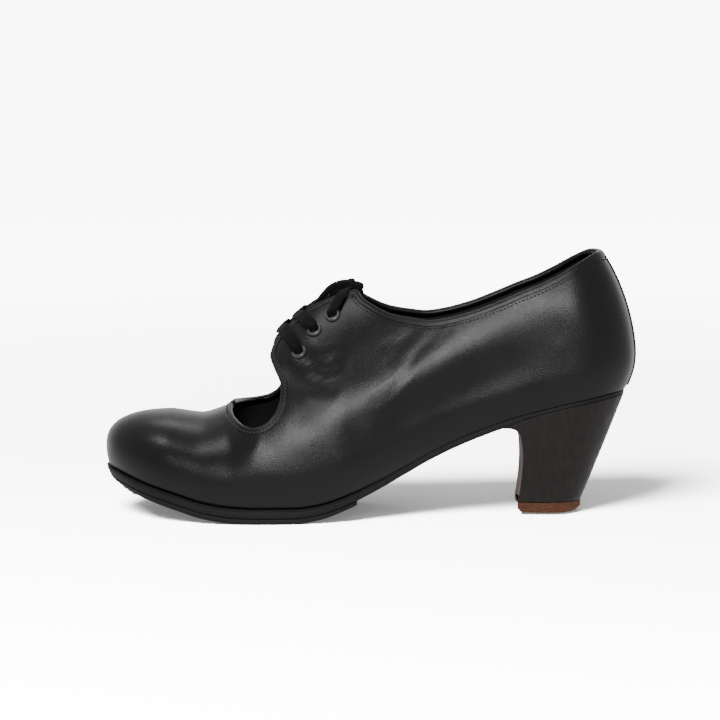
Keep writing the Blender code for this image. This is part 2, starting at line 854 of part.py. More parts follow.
# A shape turned about its frame's Z axis from a profile of radius and height, which runs
# down its outer side. A ring's profile returns to its first point.
def turned(name, profile, sides, frame, collection, finish, ring=False):
    edges = [(i, i + 1) for i in range(len(profile) - 1)]
    if ring:
        edges.append((len(profile) - 1, 0))
    mesh = bpy.data.meshes.new(name)
    mesh.from_pydata([(radius, 0.0, height) for radius, height in profile], edges, [])
    mesh.materials.append(finish)
    made = bpy.data.objects.new(name, mesh)
    collection.objects.link(made)
    made.matrix_world = frame
    turn = made.modifiers.new("turn", "SCREW")
    turn.axis = "Z"
    turn.angle = 2 * math.pi
    turn.steps = sides
    turn.render_steps = sides
    turn.use_merge_vertices = True
    turn.merge_threshold = 1e-5
    return made


# Nail frames under a surface that falls or climbs along the foot
def nail_frames(places, underside):
    frames = []
    for place in places:
        slope = (underside(place.x + PROBE) - underside(place.x - PROBE)) / (2 * PROBE)
        tilt = Matrix.Rotation(-math.atan(slope), 4, "Y")
        foot = Vector((place.x, place.y, underside(place.x) - SEAM_GAP))
        frames.append(Matrix.Translation(foot) @ tilt)
    return frames


def build_nails(parts, cutters, finish, tip, half_sole):
    inner = NAIL_INSET / (HEEL_TIP_WIDTH / 2)
    middle = Vector((HEEL_TIP_FRONT + HEEL_TIP_LENGTH / 2, 0.0))
    outline = heel_outline(0.0)
    line = [pair[0] for pair in outline[2:]] + [pair[1] for pair in reversed(outline[2:-1])]
    heel_line = [p.lerp(middle, inner) for p in line]
    front = NAIL_INSET + HEEL_TIP_CHAMFER
    heel_line = [Vector((max(p.x, HEEL_TIP_FRONT + front), p.y)) for p in heel_line]
    heel_line.append(heel_line[0])
    toe_line = []
    margin = sole_margin(1.0)
    for i in range(TOE_COLUMNS + 1):
        turn = math.radians(TOE_NAIL_TURN) + math.radians(180 - 2 * TOE_NAIL_TURN) * i / TOE_COLUMNS
        column = toe_column(turn)
        foot = column["centre"] + column["facing"] * column["reach"] * column["tuck"]
        toe_line.append(foot + column["facing"] * (margin(along_at(foot.x)) - NAIL_INSET))
    rows = (
        ("heel_nail", heel_line, lambda x: NAIL_PROUD, tip),
        ("toe_nail", toe_line, lambda x: outsole_bottom(x) - SEAM_GAP - HALF_SOLE_THICK, half_sole),
    )
    for word, line, underside, carrier in rows:
        for i, frame in enumerate(nail_frames(spaced(line, NAIL_PITCH), underside)):
            nail(f"{word}_{i + 1:02d}", frame, parts, finish["nail"])
            hole = round_cutter(
                f"{word}_hole_{i + 1:02d}", NAIL_SHANK_RADIUS + SEAM_GAP, -2 * SEAM_GAP,
                NAIL_SHANK_LENGTH + SEAM_GAP, frame, NAIL_SIDES, cutters,
            )
            boolean(carrier, hole, "DIFFERENCE")


def build_eyelets(parts, finish):
    for row in range(len(EYELETS)):
        for side, word in ((-1, "lateral"), (1, "medial")):
            seat = SEAM_GAP + EYELET_SAG
            barrel = EYELET_HOLE + EYELET_WALL
            profile = [
                (barrel, seat + EYELET_RISE),
                (EYELET_RADIUS - EYELET_ROUND, seat + EYELET_RISE - EYELET_ROUND),
                (EYELET_RADIUS, seat), (barrel, seat), (barrel, -UPPER_WALL),
                (EYELET_HOLE, -UPPER_WALL), (EYELET_HOLE, seat + EYELET_RISE - EYELET_ROUND),
            ]
            turned(
                f"eyelet_{word}_{row + 1}", profile, EYELET_SIDES, eyelet_frame(row, side), parts,
                finish["eyelet"], ring=True,
            )


# One cross-section of the flat lace where it lies over the tabs and the throat
def lace_section(row, reach, share):
    along, across = EYELETS[row]
    half = across * BALL_WIDTH
    y = half * share
    place = along + reach * (1 - share**2)
    flat = LACE_FLAT * THROAT_GAP
    over = math.copysign((abs(y) ** LACE_BEND + flat**LACE_BEND) ** (1 / LACE_BEND), y)
    normal = instep_normal(place, y)
    outward = (abs(share) - LACE_LIFT_START) / (LACE_LIFT_END - LACE_LIFT_START)
    outward = min(max(outward, 0.0), 1.0)
    over_binding = 2 * SEAM_GAP + BINDING_RISE
    over_eyelet = 4 * SEAM_GAP + 2 * EYELET_SAG + EYELET_RISE
    clearance = over_binding + (over_eyelet - over_binding) * outward
    low = instep_point(place, over, 0.0) + normal * clearance
    low.y = y + normal.y * LACE_THICK
    high = low + normal * LACE_THICK
    wide = along_instep(place, over) * LACE_WIDTH / 2
    return [[low - wide, high - wide], [low + wide, high + wide]]


def build_lace(parts, finish):
    for row, reach in LACE_BARS:
        shares = [2 * i / LACE_STEPS - 1 for i in range(LACE_STEPS + 1)]
        levels = [lace_section(row, reach, share) for share in shares]
        stacked(f"lace_bar_{row + 1}", levels, parts, finish["lace"])
    edge = ((KNOT_WIDTH - LACE_THICK) / 2 + SEAM_GAP) / (EYELETS[KNOT_ROW][1] * BALL_WIDTH)
    for side, word in ((-1, "lateral"), (1, "medial")):
        shares = [side * (1 + (edge - 1) * i / TOP_LACE_STEPS) for i in range(TOP_LACE_STEPS + 1)]
        levels = [lace_section(KNOT_ROW, KNOT_REACH, share) for share in shares]
        stacked(f"lace_top_{word}", levels, parts, finish["lace"])


def build_knot(parts, finish):
    along = EYELETS[KNOT_ROW][0] + KNOT_REACH
    route = along_instep(along, 0.0)
    across = Vector((0.0, 1.0, 0.0))
    corners = [corner for side in lace_section(KNOT_ROW, KNOT_REACH, 0.0) for corner in side]
    place = sum(corners, Vector()) / len(corners)
    place.y = 0.0
    axes = (route * KNOT_LENGTH / 2, across * KNOT_WIDTH / 2, route.cross(across) * KNOT_HEIGHT / 2)
    frame = Matrix.Translation(place) @ Matrix(axes).transposed().to_4x4()
    shape = bmesh.new()
    bmesh.ops.create_uvsphere(shape, u_segments=KNOT_SIDES, v_segments=KNOT_SIDES // 2, radius=1.0)
    bmesh.ops.transform(shape, matrix=frame, verts=shape.verts)
    mesh = bpy.data.meshes.new("lace_knot")
    shape.to_mesh(mesh)
    shape.free()
    mesh.materials.append(finish["lace"])
    knot = bpy.data.objects.new("lace_knot", mesh)
    parts.objects.link(knot)


def main():
    clear_scene()
    parts = new_collection("flamenco_shoe")
    cutters = new_collection("cutters")
    finish = {name: material(name) for name in FINISHES}
    build_upper(parts, cutters, finish["leather"])
    half_sole = build_soles(parts, cutters, finish)
    tip = build_heel(parts, finish)
    build_nails(parts, cutters, finish, tip, half_sole)
    build_eyelets(parts, finish)
    build_lace(parts, finish)
    build_knot(parts, finish)


main()
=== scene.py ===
# Left flamenco shoe: fine surfaces, finishes, stitching, lace, floor, light and camera
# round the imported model. Metres, +Z up. The toe points to -X and the outer side is -Y.

import math

import bmesh
import bpy
from mathutils import Matrix, Vector
from mathutils.bvhtree import BVHTree


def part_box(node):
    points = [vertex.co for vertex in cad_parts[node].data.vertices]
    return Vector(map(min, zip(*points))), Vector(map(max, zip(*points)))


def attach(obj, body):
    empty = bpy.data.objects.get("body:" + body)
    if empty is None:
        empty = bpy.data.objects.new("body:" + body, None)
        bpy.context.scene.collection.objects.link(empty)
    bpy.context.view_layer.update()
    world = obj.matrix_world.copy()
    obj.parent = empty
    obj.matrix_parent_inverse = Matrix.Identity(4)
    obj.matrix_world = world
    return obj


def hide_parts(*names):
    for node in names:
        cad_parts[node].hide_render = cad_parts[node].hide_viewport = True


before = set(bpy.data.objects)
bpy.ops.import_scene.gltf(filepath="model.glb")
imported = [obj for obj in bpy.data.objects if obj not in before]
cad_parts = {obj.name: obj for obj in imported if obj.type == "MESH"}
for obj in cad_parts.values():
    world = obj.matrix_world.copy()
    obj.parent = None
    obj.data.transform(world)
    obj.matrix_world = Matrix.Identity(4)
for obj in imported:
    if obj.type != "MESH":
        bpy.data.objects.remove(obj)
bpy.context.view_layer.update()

# Sizes of the shoe
MM = 0.001
LENGTH = 240 * MM
BALL_WIDTH = 87 * MM
TOE_SPRING = 16.5 * MM
HEEL_LIFT = 50 * MM
TOE_DEPTH = 32.5 * MM
INSTEP_DEPTH = 91.5 * MM
COUNTER_DEPTH = 63 * MM
UPPER_WALL = 2.0 * MM
BINDING_RISE = 0.6 * MM
BINDING_WIDTH = 2.8 * MM
COLLAR_START = -8.0 * MM
COLLAR_STITCH = 3.7 * MM
BAND_STITCH = 1.75 * MM
STITCH_PITCH = 1.8 * MM
STITCH_LENGTH = 1.15 * MM
STITCH_RADIUS = 0.25 * MM
STITCH_SIDES = 6
STITCH_RINGS = [
    # place along the stitch, girth, height over the leather (shares of the radius)
    (-1.0, 0.35, -0.50),
    (-0.7, 1.00, 0.35),
    (0.0, 1.00, 0.35),
    (0.7, 1.00, 0.35),
    (1.0, 0.35, -0.50),
]
BAND_HEIGHT = 0.34 * MM
RIM_PITCH = 1.0 * MM
RIM_PROFILE = [
    # distance into the leather and height over it, in mm
    (2.60, -0.60), (2.62, 0.08), (2.48, 0.26), (2.20, 0.32), (1.50, 0.34), (0.90, 0.30), (0.72, 0.36),
    (0.50, 0.58), (0.20, 0.66), (-0.10, 0.58), (-0.36, 0.28), (-0.50, -0.30), (-0.55, -1.00),
    (-0.45, -1.70), (-0.10, -2.20), (0.60, -2.45), (1.80, -2.45), (2.60, -2.10), (2.60, -1.40),
]
BACK_STRIP_WIDTH = 9.0 * MM
BACK_STRIP_TOP = 0.945
BACK_STRIP_ROWS = 60
BACK_STRIP_PROFILE = [
    # place across, as a share of half the width, and height as a share of BINDING_RISE
    (-1.0, -0.3), (-1.0, 0.6), (-0.93, 1.0), (-0.5, 1.0), (0.0, 1.0), (0.5, 1.0), (0.93, 1.0),
    (1.0, 0.6), (1.0, -0.3), (0.0, -0.3),
]
BACK_STITCH_LIFT = -0.25 * MM
BACK_STITCH_PLACE = 0.55
INSOLE_THICK = 2.5 * MM
OUTSOLE_THICK = 4.2 * MM
HALF_SOLE_THICK = 2.3 * MM
HALF_SOLE_STEP = 1.6 * MM
SOLE_EDGE = 1.2 * MM
TOE_BEVEL = 4.5 * MM
LAYER_BEVEL = 0.35
BEVEL_CURVE = 1.3
HALF_SOLE_END = 0.476
HALF_SOLE_FEATHER = 30 * MM
SEAM_GAP = 0.3 * MM
HEEL_TIP_THICK = 4.4 * MM
HEEL_TIP_CHAMFER = 1.8 * MM
HEEL_TIP_LENGTH = 29.2 * MM
HEEL_TIP_WIDTH = 28.5 * MM
HEEL_TOP_INSET = 0.6 * MM
HEEL_TIP_FRONT = 66.2 * MM
BREAST_FLARE = 7.8 * MM
BREAST_CURVE = 12.5
BREAST_BOW = 2.0 * MM
BREAST_HOLLOW = 2.0 * MM
BREAST_HOLLOW_LOW = 0.6
BREAST_STEPS = 8
# From the breast to the heel's widest place: shares of the heel's half width, and places as
# a distance in mm from the breast or as a share of the way
BREAST_CORNER = [(0.90, 0.0), (0.925, 0.25), (0.935, 1.2)]
HEEL_FLANK = [(0.955, 0.3), (0.978, 0.6)]
HEEL_WIDEST = 0.48
HEEL_FLARE_CURVE = 1.25
HEEL_ROUND_STEPS = 22
HEEL_LEVELS = 26
HEEL_LEVEL_EDGE = 0.008
HEEL_LEVEL_CURVE = 1.25
HEEL_EDGE = 0.3 * MM
NAIL_PROUD = 1.0 * MM
NAIL_RADIUS = 1.4 * MM
NAIL_PROFILE = [
    # share of the radius, height in mm
    (0.0, 0.0), (0.35, 0.02), (0.70, 0.14), (0.93, 0.34), (1.0, 0.58), (0.96, 0.78), (0.45, 0.85),
    (0.45, 2.4), (0.0, 2.4),
]
THROAT_GAP = 16 * MM
EYELET_RADIUS = 3.5 * MM
EYELET_HOLE = 2.1 * MM
LACE_WIDTH = 6.0 * MM
LACE_THICK = 1.2 * MM
LACE_FLAT = 0.52
LACE_BEND = 12
LACE_SQUARE = (0.55, 0.75)
# The lace lies low between the tabs and lifts over the eyelets between two shares of the way
LACE_LOW = 1.3 * MM
LACE_LIFT = 0.6 * MM
LACE_LIFT_START = 0.55
LACE_LIFT_SPAN = 0.25
LACE_OUTER = 0.80
STRAND_INNER = 0.20
LACE_DIVE = [
    # mm inward of the eyelet's middle, mm over it, width and thickness as shares of the lace's
    (1.3, 1.95, 0.96, 1.10),
    (0.75, 1.55, 0.86, 1.25),
    (0.25, 0.60, 0.68, 1.5),
    (0.0, -1.0, 0.64, 1.5),
    (0.0, -2.8, 0.64, 1.5),
]
KNOT_LENGTH = 16.0 * MM
KNOT_WIDTH = 10 * MM
KNOT_HEIGHT = 7.5 * MM
KNOT_DROP = 1.6 * MM
KNOT_BANDS = [
    # place along the knot, lean, width
    (-0.42, 0.10, 5.0 * MM),
    (0.20, -0.14, 5.6 * MM),
]
FOLD_WIDTH = 9.0 * MM
FOLD_THICK = 3.2 * MM
KNOT_FOLD = [
    # along the shoe, up, across, in mm from the knot's middle
    (-17.8, -9.8, 0.8),
    (-13.0, -5.0, 0.4),
    (-9.0, -0.5, -0.4),
    (-5.4, 2.1, -0.8),
    (-0.5, 3.3, -0.6),
    (3.4, 2.5, 0.0),
    (6.2, -0.4, 0.4),
    (7.6, -4.2, 0.4),
]
TOE_AXIS = 0.125
HEEL_AXIS = 0.867
AXIS_STEP = 0.01
PROBE = 0.5 * MM
TREAD = OUTSOLE_THICK + HALF_SOLE_THICK + 2 * SEAM_GAP
LAST_LENGTH = LENGTH - BINDING_RISE

# Bottom of the last: how far each place is lifted, as shares of TOE_SPRING and HEEL_LIFT
BOTTOM_LINE = [
    # along, toe, heel
    (0.000, 0.930, 0.000),
    (0.026, 0.850, 0.000),
    (0.055, 0.720, 0.000),
    (0.085, 0.585, 0.000),
    (0.115, 0.454, 0.000),
    (0.149, 0.305, 0.000),
    (0.187, 0.145, 0.000),
    (0.242, 0.028, 0.000),
    (0.291, 0.000, 0.000),
    (0.361, 0.000, 0.000),
    (0.406, 0.000, 0.026),
    (0.463, 0.000, 0.113),
    (0.509, 0.000, 0.214),
    (0.555, 0.000, 0.330),
    (0.620, 0.000, 0.500),
    (0.669, 0.000, 0.610),
    (0.706, 0.000, 0.682),
    (0.763, 0.000, 0.778),
    (0.812, 0.000, 0.840),
    (0.871, 0.000, 0.910),
    (0.912, 0.000, 0.950),
    (0.958, 0.000, 0.985),
    (1.000, 0.000, 1.000),
]

# Sections of the last. Half widths are shares of BALL_WIDTH, and tuck is the width at the
# feather line as a share of the full width. Rise runs from TOE_DEPTH to INSTEP_DEPTH.
SECTIONS = [
    # along, lateral, medial, tuck, belly, rise, lateral fullness, medial fullness
    (0.125, 0.428, 0.440, 0.930, 0.270, 0.000, 2.25, 2.25),
    (0.180, 0.462, 0.480, 0.930, 0.270, 0.040, 2.15, 2.15),
    (0.217, 0.480, 0.496, 0.930, 0.260, 0.110, 2.05, 2.07),
    (0.242, 0.489, 0.500, 0.928, 0.250, 0.170, 1.98, 2.02),
    (0.267, 0.496, 0.499, 0.925, 0.240, 0.340, 1.88, 1.94),
    (0.288, 0.499, 0.496, 0.922, 0.230, 0.520, 1.80, 1.88),
    (0.310, 0.500, 0.489, 0.918, 0.210, 0.640, 1.73, 1.83),
    (0.338, 0.499, 0.477, 0.912, 0.190, 0.778, 1.67, 1.80),
    (0.367, 0.494, 0.462, 0.905, 0.180, 0.885, 1.63, 1.79),
    (0.396, 0.486, 0.446, 0.895, 0.180, 0.968, 1.60, 1.78),
    (0.423, 0.476, 0.430, 0.885, 0.180, 1.000, 1.59, 1.77),
    (0.450, 0.464, 0.414, 0.872, 0.180, 1.010, 1.59, 1.75),
    (0.492, 0.440, 0.388, 0.850, 0.185, 1.000, 1.62, 1.75),
    (0.583, 0.388, 0.342, 0.820, 0.190, 0.970, 1.75, 1.82),
    (0.708, 0.352, 0.328, 0.850, 0.190, 0.905, 2.00, 2.02),
    (0.800, 0.342, 0.330, 0.890, 0.190, 0.850, 2.15, 2.15),
    (0.867, 0.336, 0.330, 0.920, 0.190, 0.775, 2.30, 2.30),
]
TOE_POINT = {"tuck": 0.955, "belly": 0.250, "fullness": 2.55}
HEEL_POINT = {"tuck": 0.870, "belly": 0.195, "fullness": 1.67}
TOE_ROUND = 2.15
HEEL_ROUND = 2.10

# Top edge of the collar, above the feather line, as shares of COUNTER_DEPTH
COLLAR_LINE = [
    # along, height
    (0.440, 1.700),
    (0.470, 1.445),
    (0.482, 1.335),
    (0.500, 1.255),
    (0.535, 1.125),
    (0.573, 1.018),
    (0.615, 0.915),
    (0.669, 0.858),
    (0.706, 0.845),
    (0.744, 0.850),
    (0.782, 0.868),
    (0.820, 0.888),
    (0.857, 0.924),
    (0.895, 0.975),
    (0.920, 1.003),
    (0.940, 0.990),
    (0.960, 0.965),
    (1.020, 0.900),
]

# Edge of the cut-out and of the tab above it, seen from the side. Heights are above the
# feather line at the throat, as shares of INSTEP_DEPTH.
CUTOUT_FRONT = 0.240
EDGE_CUT_TOP = 1.3
THROAT_CUT_LOW = 0.3
CUT_TOP = 2.0 * INSTEP_DEPTH + HEEL_LIFT
LATERAL_EDGE = [
    # along, height
    (0.2450, 0.640),
    (0.2440, 0.530),
    (0.2415, 0.488),
    (0.2370, 0.452),
    (0.2400, 0.430),
    (0.2500, 0.408),
    (0.2640, 0.388),
    (0.2790, 0.380),
    (0.2930, 0.383),
    (0.3090, 0.402),
    (0.3250, 0.445),
    (0.3330, 0.490),
    (0.3370, 0.545),
    (0.3350, 0.600),
    (0.3240, 0.655),
    (0.3150, 0.705),
    (0.3105, 0.750),
    (0.3110, 0.790),
    (0.3170, 0.835),
    (0.3270, 0.895),
    (0.3400, 0.990),
]
MEDIAL_EDGE = [
    # along, height
    (0.2454, 0.640),
    (0.2443, 0.530),
    (0.2419, 0.488),
    (0.2400, 0.470),
    (0.2470, 0.452),
    (0.2580, 0.443),
    (0.2720, 0.438),
    (0.2880, 0.440),
    (0.3040, 0.450),
    (0.3180, 0.472),
    (0.3270, 0.500),
    (0.3290, 0.545),
    (0.3275, 0.610),
    (0.3240, 0.668),
    (0.3170, 0.730),
    (0.3130, 0.768),
    (0.3140, 0.800),
    (0.3190, 0.840),
    (0.3270, 0.895),
    (0.3400, 0.990),
]

# Gap between the tabs, seen from above: half its width past THROAT_GAP / 2, as shares of it
THROAT_EDGE = [
    # along, flare
    (0.262, 1.300),
    (0.312, 0.950),
    (0.318, 0.560),
    (0.326, 0.300),
    (0.337, 0.120),
    (0.352, 0.020),
    (0.365, 0.000),
    (0.470, 0.060),
    (0.505, 0.500),
]

# Thickness of the outsole, how far its edge stands out and how far it is cut back under the
# toe, as shares of OUTSOLE_THICK, SOLE_EDGE and TOE_BEVEL
SOLE_LAYERS = [
    # along, thickness, edge, bevel
    (0.000, 1.000, 1.000, 1.000),
    (0.030, 1.000, 1.000, 0.850),
    (0.080, 1.000, 1.000, 0.400),
    (0.150, 1.000, 1.000, 0.100),
    (0.300, 1.000, 1.000, 0.000),
    (0.476, 0.950, 0.600, 0.000),
    (0.600, 0.900, 0.000, 0.000),
    (0.745, 0.860, -0.400, 0.000),
    (0.800, 0.480, -0.500, 0.000),
    (1.000, 0.450, -0.500, 0.000),
]
EYELETS = [
    # along, across (share of BALL_WIDTH)
    (0.368, 0.266),
    (0.396, 0.214),
    (0.430, 0.182),
]
LACE_BARS = [
    # eyelet row, reach along the foot at the ridge
    (0, -0.032),
    (1, -0.030),
]
KNOT_ROW = len(EYELETS) - 1
KNOT_REACH = 0.028

# Creases and soft forms of the leather: places along the foot and heights above the feather
# line at the throat as a share of INSTEP_DEPTH. A negative depth is a ridge.
CREASES = [
    # side, line, half width, depth
    (-1, [(0.377, 0.722), (0.417, 0.676), (0.439, 0.712)], 2.2 * MM, 0.80 * MM),
    (-1, [(0.345, 0.652), (0.384, 0.604), (0.426, 0.584)], 2.6 * MM, 0.70 * MM),
    (-1, [(0.349, 0.590), (0.369, 0.542)], 1.7 * MM, 0.45 * MM),
    (-1, [(0.393, 0.634), (0.410, 0.590)], 1.6 * MM, 0.40 * MM),
    (-1, [(0.588, 0.888), (0.565, 0.830), (0.520, 0.750)], 1.0 * MM, 0.26 * MM),
    (-1, [(0.616, 0.893), (0.570, 0.810), (0.530, 0.710)], 1.1 * MM, 0.28 * MM),
    (-1, [(0.638, 0.893), (0.583, 0.741), (0.566, 0.690)], 1.2 * MM, 0.32 * MM),
    (-1, [(0.651, 0.860), (0.588, 0.721), (0.540, 0.560), (0.500, 0.500)], 1.3 * MM, 0.30 * MM),
    (-1, [(0.371, 0.421), (0.463, 0.477), (0.592, 0.632), (0.703, 0.818)], 9.0 * MM, -0.8 * MM),
    (-1, [(0.500, 0.380), (0.600, 0.480), (0.702, 0.595), (0.851, 0.767)], 9.0 * MM, 1.1 * MM),
    (-1, [(0.262, 0.345), (0.272, 0.300)], 1.1 * MM, 0.3 * MM),
    (-1, [(0.285, 0.345), (0.282, 0.300)], 1.1 * MM, 0.3 * MM),
    (1, [(0.377, 0.700), (0.412, 0.660), (0.440, 0.690)], 2.2 * MM, 0.8 * MM),
    (1, [(0.345, 0.640), (0.384, 0.600), (0.426, 0.580)], 2.4 * MM, 0.7 * MM),
    (1, [(0.610, 0.870), (0.570, 0.790), (0.548, 0.700)], 1.4 * MM, 0.45 * MM),
    (1, [(0.640, 0.870), (0.590, 0.750), (0.560, 0.640)], 1.6 * MM, 0.45 * MM),
]

CREASE_NEAR = 20 * MM

# Mesh density
TOE_COLUMNS = 44
HEEL_COLUMNS = 44
BODY_COLUMNS = 112
LOWER_ROWS = 9
UPPER_ROWS = 36
COLLAR_STEPS = 150
OUTLINE_STEPS = 4
ROUTE_STEPS = 6
NAIL_SIDES = 20
EYELET_SIDES = 40
LACE_STEPS = 40
STRAND_STEPS = 18
LACE_SIDES = 20
KNOT_RINGS = 24
BAND_RINGS = 36
BAND_TURN = 0.1


# Smooth reading of a table: the column's value at a place along the foot
def follow(table, along, column):
    places = [row[0] for row in table]
    values = [row[column] for row in table]
    if along <= places[0]:
        return values[0]
    if along >= places[-1]:
        return values[-1]
    k = max(i for i in range(len(places) - 1) if places[i] <= along)

    def slope(i):
        return (values[i + 1] - values[i]) / (places[i + 1] - places[i])

    def tangent(i):
        if i == 0:
            return slope(0)
        if i == len(places) - 1:
            return slope(i - 1)
        before = slope(i - 1)
        after = slope(i)
        if before * after <= 0.0:
            return 0.0
        return 2.0 * before * after / (before + after)

    span = places[k + 1] - places[k]
    t = (along - places[k]) / span
    start = (2 * t**3 - 3 * t**2 + 1) * values[k] + (t**3 - 2 * t**2 + t) * span * tangent(k)
    end = (3 * t**2 - 2 * t**3) * values[k + 1] + (t**3 - t**2) * span * tangent(k + 1)
    return start + end


def x_at(along):
    return along * LAST_LENGTH - LENGTH / 2


def along_at(x):
    return (x + LENGTH / 2) / LAST_LENGTH


# Height of the feather line, where the upper meets the sole
def feather(x):
    along = along_at(x)
    return TREAD + follow(BOTTOM_LINE, along, 1) * TOE_SPRING + follow(BOTTOM_LINE, along, 2) * HEEL_LIFT


def depth_at(along):
    return TOE_DEPTH + follow(SECTIONS, along, 5) * (INSTEP_DEPTH - TOE_DEPTH)


# A column is one upright profile of the last
def body_column(along, side):
    x = x_at(along)
    base = feather(x)
    depth = depth_at(along)
    return {
        "centre": Vector((x, 0.0)),
        "facing": Vector((0.0, float(side))),
        "reach": follow(SECTIONS, along, 1 if side < 0 else 2) * BALL_WIDTH,
        "tuck": follow(SECTIONS, along, 3),
        "belly": base + follow(SECTIONS, along, 4) * depth,
        "top": base + depth,
        "fullness": follow(SECTIONS, along, 6 if side < 0 else 7),
    }


# A column of the rounded toe or heel, turned about the end axis
def end_column(turn, axis, tip, roundness, point_values):
    side = -1 if turn <= math.pi / 2 else 1
    flank = body_column(axis, side)
    along_x = math.sin(turn)
    across = abs(math.cos(turn))
    length = abs(x_at(tip) - x_at(axis))
    reach = ((along_x / length) ** roundness + (across / flank["reach"]) ** roundness) ** (-1 / roundness)
    heading = -1.0 if tip < axis else 1.0
    widening = body_column(axis - heading * AXIS_STEP, side)["reach"] - flank["reach"]
    reach *= 1.0 - widening / (AXIS_STEP * LAST_LENGTH) * along_x * across**2
    blend = along_x**2
    facing = Vector((heading * along_x, -math.cos(turn)))
    tuck = flank["tuck"] + blend * (point_values["tuck"] - flank["tuck"])
    foot_x = flank["centre"].x + facing.x * reach * tuck
    belly_share = follow(SECTIONS, axis, 4)
    belly_share += blend * (point_values["belly"] - belly_share)
    return {
        "centre": flank["centre"],
        "facing": facing,
        "reach": reach,
        "tuck": tuck,
        "belly": feather(foot_x) + belly_share * depth_at(axis),
        "top": flank["top"],
        "fullness": flank["fullness"] + blend * (point_values["fullness"] - flank["fullness"]),
    }


def toe_column(turn):
    return end_column(turn, TOE_AXIS, 0.0, TOE_ROUND, TOE_POINT)


def heel_column(turn):
    return end_column(turn, HEEL_AXIS, 1.0, HEEL_ROUND, HEEL_POINT)


def body_steps():
    return [TOE_AXIS + (HEEL_AXIS - TOE_AXIS) * i / BODY_COLUMNS for i in range(BODY_COLUMNS + 1)]


def columns():
    ring = [body_column(a, -1) for a in body_steps()]
    ring += [heel_column(math.pi * i / HEEL_COLUMNS) for i in range(1, HEEL_COLUMNS)]
    ring += [body_column(a, 1) for a in reversed(body_steps())]
    ring += [toe_column(math.pi * (1 - i / TOE_COLUMNS)) for i in range(1, TOE_COLUMNS)]
    return ring


# A point on a column, from the feather line (row 0) to the ridge (last row)
def column_point(column, row, grow):
    reach = column["reach"] + grow
    if row < LOWER_ROWS:
        foot = feather(column["centre"].x + column["facing"].x * reach * column["tuck"])
        drop = 1.0 - row / LOWER_ROWS
        out = reach - column["reach"] * (1.0 - column["tuck"]) * drop**2
        height = column["belly"] - (column["belly"] - foot) * drop
    else:
        angle = (row - LOWER_ROWS) / UPPER_ROWS * math.pi / 2
        power = 2.0 / column["fullness"]
        out = reach * max(math.cos(angle), 0.0) ** power
        if row == LOWER_ROWS + UPPER_ROWS:
            out = 0.0
        height = column["belly"] + (column["top"] + grow - column["belly"]) * math.sin(angle) ** power
    place = column["centre"] + column["facing"] * out
    return Vector((place.x, place.y, height))


# A point of the outer surface at a place on the instep, and its directions there
def instep_point(along, across):
    column = body_column(along, -1 if across < 0 else 1)
    share = min(abs(across) / column["reach"], 1.0)
    power = column["fullness"]
    height = (1.0 - share**power) ** (1.0 / power)
    return Vector((x_at(along), across, column["belly"] + (column["top"] - column["belly"]) * height))


def along_instep(along, across):
    here = instep_point(along, across)
    return (instep_point(along_at(here.x + PROBE), across) - here).normalized()


def instep_normal(along, across):
    beside = instep_point(along, across + PROBE) - instep_point(along, across)
    return along_instep(along, across).cross(beside).normalized()


def eyelet_frame(row, side):
    along, across = EYELETS[row]
    place = instep_point(along, side * across * BALL_WIDTH)
    normal = instep_normal(along, side * across * BALL_WIDTH)
    return Matrix.Translation(place) @ normal.to_track_quat("Z", "Y").to_matrix().to_4x4()


# Meshes

def mesh_object(name, points, faces, finishes, sharp=35.0, slots=None):
    mesh = bpy.data.meshes.new(name)
    mesh.from_pydata([tuple(p) for p in points], [], faces)
    for finish in finishes:
        mesh.materials.append(finish)
    if slots:
        mesh.polygons.foreach_set("material_index", slots)
    made = bpy.data.objects.new(name, mesh)
    bpy.context.scene.collection.objects.link(made)
    tidy_normals(mesh, sharp)
    return made


def tidy_normals(mesh, sharp):
    shape = bmesh.new()
    shape.from_mesh(mesh)
    bmesh.ops.remove_doubles(shape, verts=shape.verts, dist=1e-6)
    bmesh.ops.recalc_face_normals(shape, faces=shape.faces)
    shape.to_mesh(mesh)
    shape.free()
    mesh.shade_smooth()
    mesh.set_sharp_from_angle(angle=math.radians(sharp))


# Faces between rows of points, numbered from start. Rows and columns may each close.
def grid_faces(start, rows, columns, close_rows=False, close_columns=False):
    faces = []
    for i in range(rows if close_rows else rows - 1):
        here = start + i * columns
        ahead = start + (i + 1) % rows * columns
        for k in range(columns if close_columns else columns - 1):
            n = (k + 1) % columns
            faces.append((here + k, ahead + k, ahead + n, here + n))
    return faces


# Caps over the first and the last row
def cap_faces(start, rows, columns):
    last = start + (rows - 1) * columns
    return [tuple(range(start, start + columns)), tuple(reversed(range(last, last + columns)))]


# A skin over matching sections, which closes on itself or has end caps. Its UV map holds the
# distance along it in metres and the share of the way round it.
def sweep(name, sections, finish, closed=False, sharp=35.0):
    count = len(sections[0])
    points = [point for section in sections for point in section]
    faces = grid_faces(0, len(sections), count, closed, True)
    if not closed:
        faces += cap_faces(0, len(sections), count)
    made = mesh_object(name, points, faces, [finish], sharp)
    walked = [0.0]
    for before, after in zip(sections, sections[1:]):
        middle = sum(after, Vector()) / count - sum(before, Vector()) / count
        walked.append(walked[-1] + middle.length)
    layer = made.data.uv_layers.new(name="route")
    for face in made.data.polygons:
        for loop in face.loop_indices:
            vertex = made.data.loops[loop].vertex_index
            section = min(vertex // count, len(sections) - 1)
            layer.data[loop].uv = (walked[section], (vertex % count) / count)
    return made


def place(piece, slot, *nodes):
    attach(piece, "root")
    if nodes:
        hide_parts(*nodes)
    return piece


